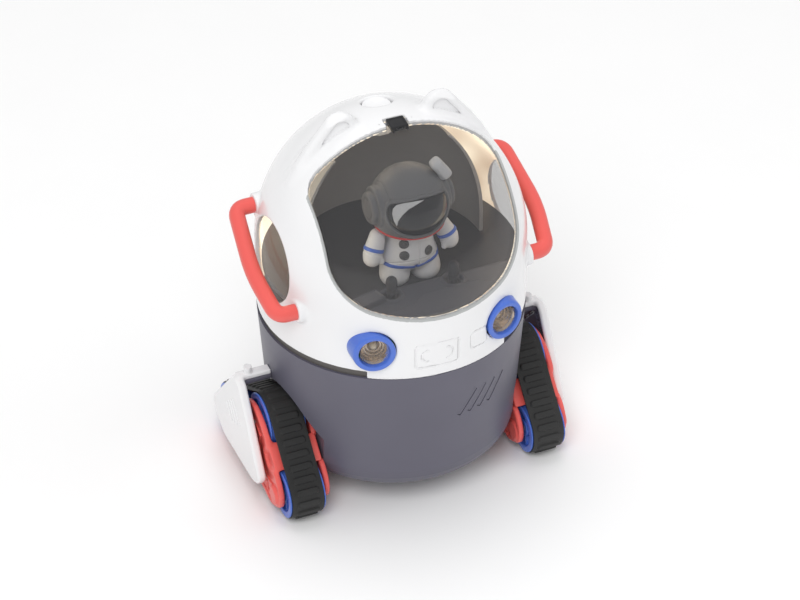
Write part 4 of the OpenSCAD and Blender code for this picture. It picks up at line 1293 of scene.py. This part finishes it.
def painted_visor_reflection(x, y, z):
    """A pale curved stripe on the visor: a painted reflection."""
    turn, rise = around_head(x, y, z)
    skin = ball(x, y, z, HELMET, HELMET_R - 0.1)
    flat = outline(turn, rise, REFLECTION_STRIPE_SIDE) * DEGREE
    return smooth_max(np.maximum(skin, -skin - 0.7), flat, 0.2)


def camera_box(x, y, z):
    """The camera on the helmet's right side: its box, foot and lens."""
    u, w = turned(x - HELMET[0], z - HELMET[2], math.radians(54))
    v = y - HELMET[1]
    body = block(u, v, w, (-4.8, -2.5, HELMET_R + 3.0), (6.4, 3.7, 3.1), 2.2)
    foot = bar(u, v, w, (-0.5, -3, HELMET_R - 3), (-1.0, -2.5, HELMET_R + 1.5), 1.5, 2.0)
    lens = slab(np.hypot(u + 7.5, w - HELMET_R - 3) - 1.6, v + 6.0, 0.5, 0.3)
    shape = smooth_min(smooth_min(body, foot, 1.4), lens, 0.2)
    return np.maximum(shape, HELMET_R - 0.6 - ball(x, y, z, HELMET, 0))


def scarf(x, y, z):
    """Red collar ring under the helmet."""
    q = np.hypot(x, y - FIGURE_Y)
    return np.hypot((q - 9.0) / 1.5, z - cad("astronaut_collar")[1][2] + 1.3) - 1.3


def trim(x, y, z):
    """Red edge round the foot of the helmet."""
    low = cad("astronaut_helmet")[0][2] + 0.75
    r = math.sqrt(HELMET_R**2 - (HELMET[2] - low) ** 2)
    return np.hypot(np.hypot(x, y - FIGURE_Y) - r, z - low) - 0.75


head_low, head_high = HELMET - np.array([27, 25, 13]), HELMET + np.array([27, 25, 25])
ON_HEAD = [("astronaut_hood", helmet, head_low, head_high, 0.6, HELMET_GREY, "astronaut_helmet"),
           ("astronaut_helmet_trim", trim, head_low, (22, 1, HELMET[2] - 8), 0.45, COLLAR, None),
           ("astronaut_visor", visor, head_low, (24, FIGURE_Y, HELMET[2] + 15), 0.55, VISOR, "helmet_visor"),
           # A pale stripe on the glossy visor: painted reflection.
           ("visor_painted_reflection", painted_visor_reflection, (-20, -46, 163), (6, -32, 182), 0.35, LIGHT_GREY, None),
           ("astronaut_camera", camera_box, (4, -31, 170), (29, -17, 197), 0.45, LIGHT_GREY, "helmet_camera")]
for name, field, low, high, cell, material, node in ON_HEAD:
    piece(name, surface(field, low, high, cell), material, node, "astronaut_head")
piece("astronaut_scarf", surface(scarf, (-12, FIGURE_Y - 12, 151), (12, FIGURE_Y + 12, 157), 0.5), COLLAR,
      "astronaut_collar")


visual_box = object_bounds()
[[list(corner) for corner in box] for box in (cad_box, visual_box)]
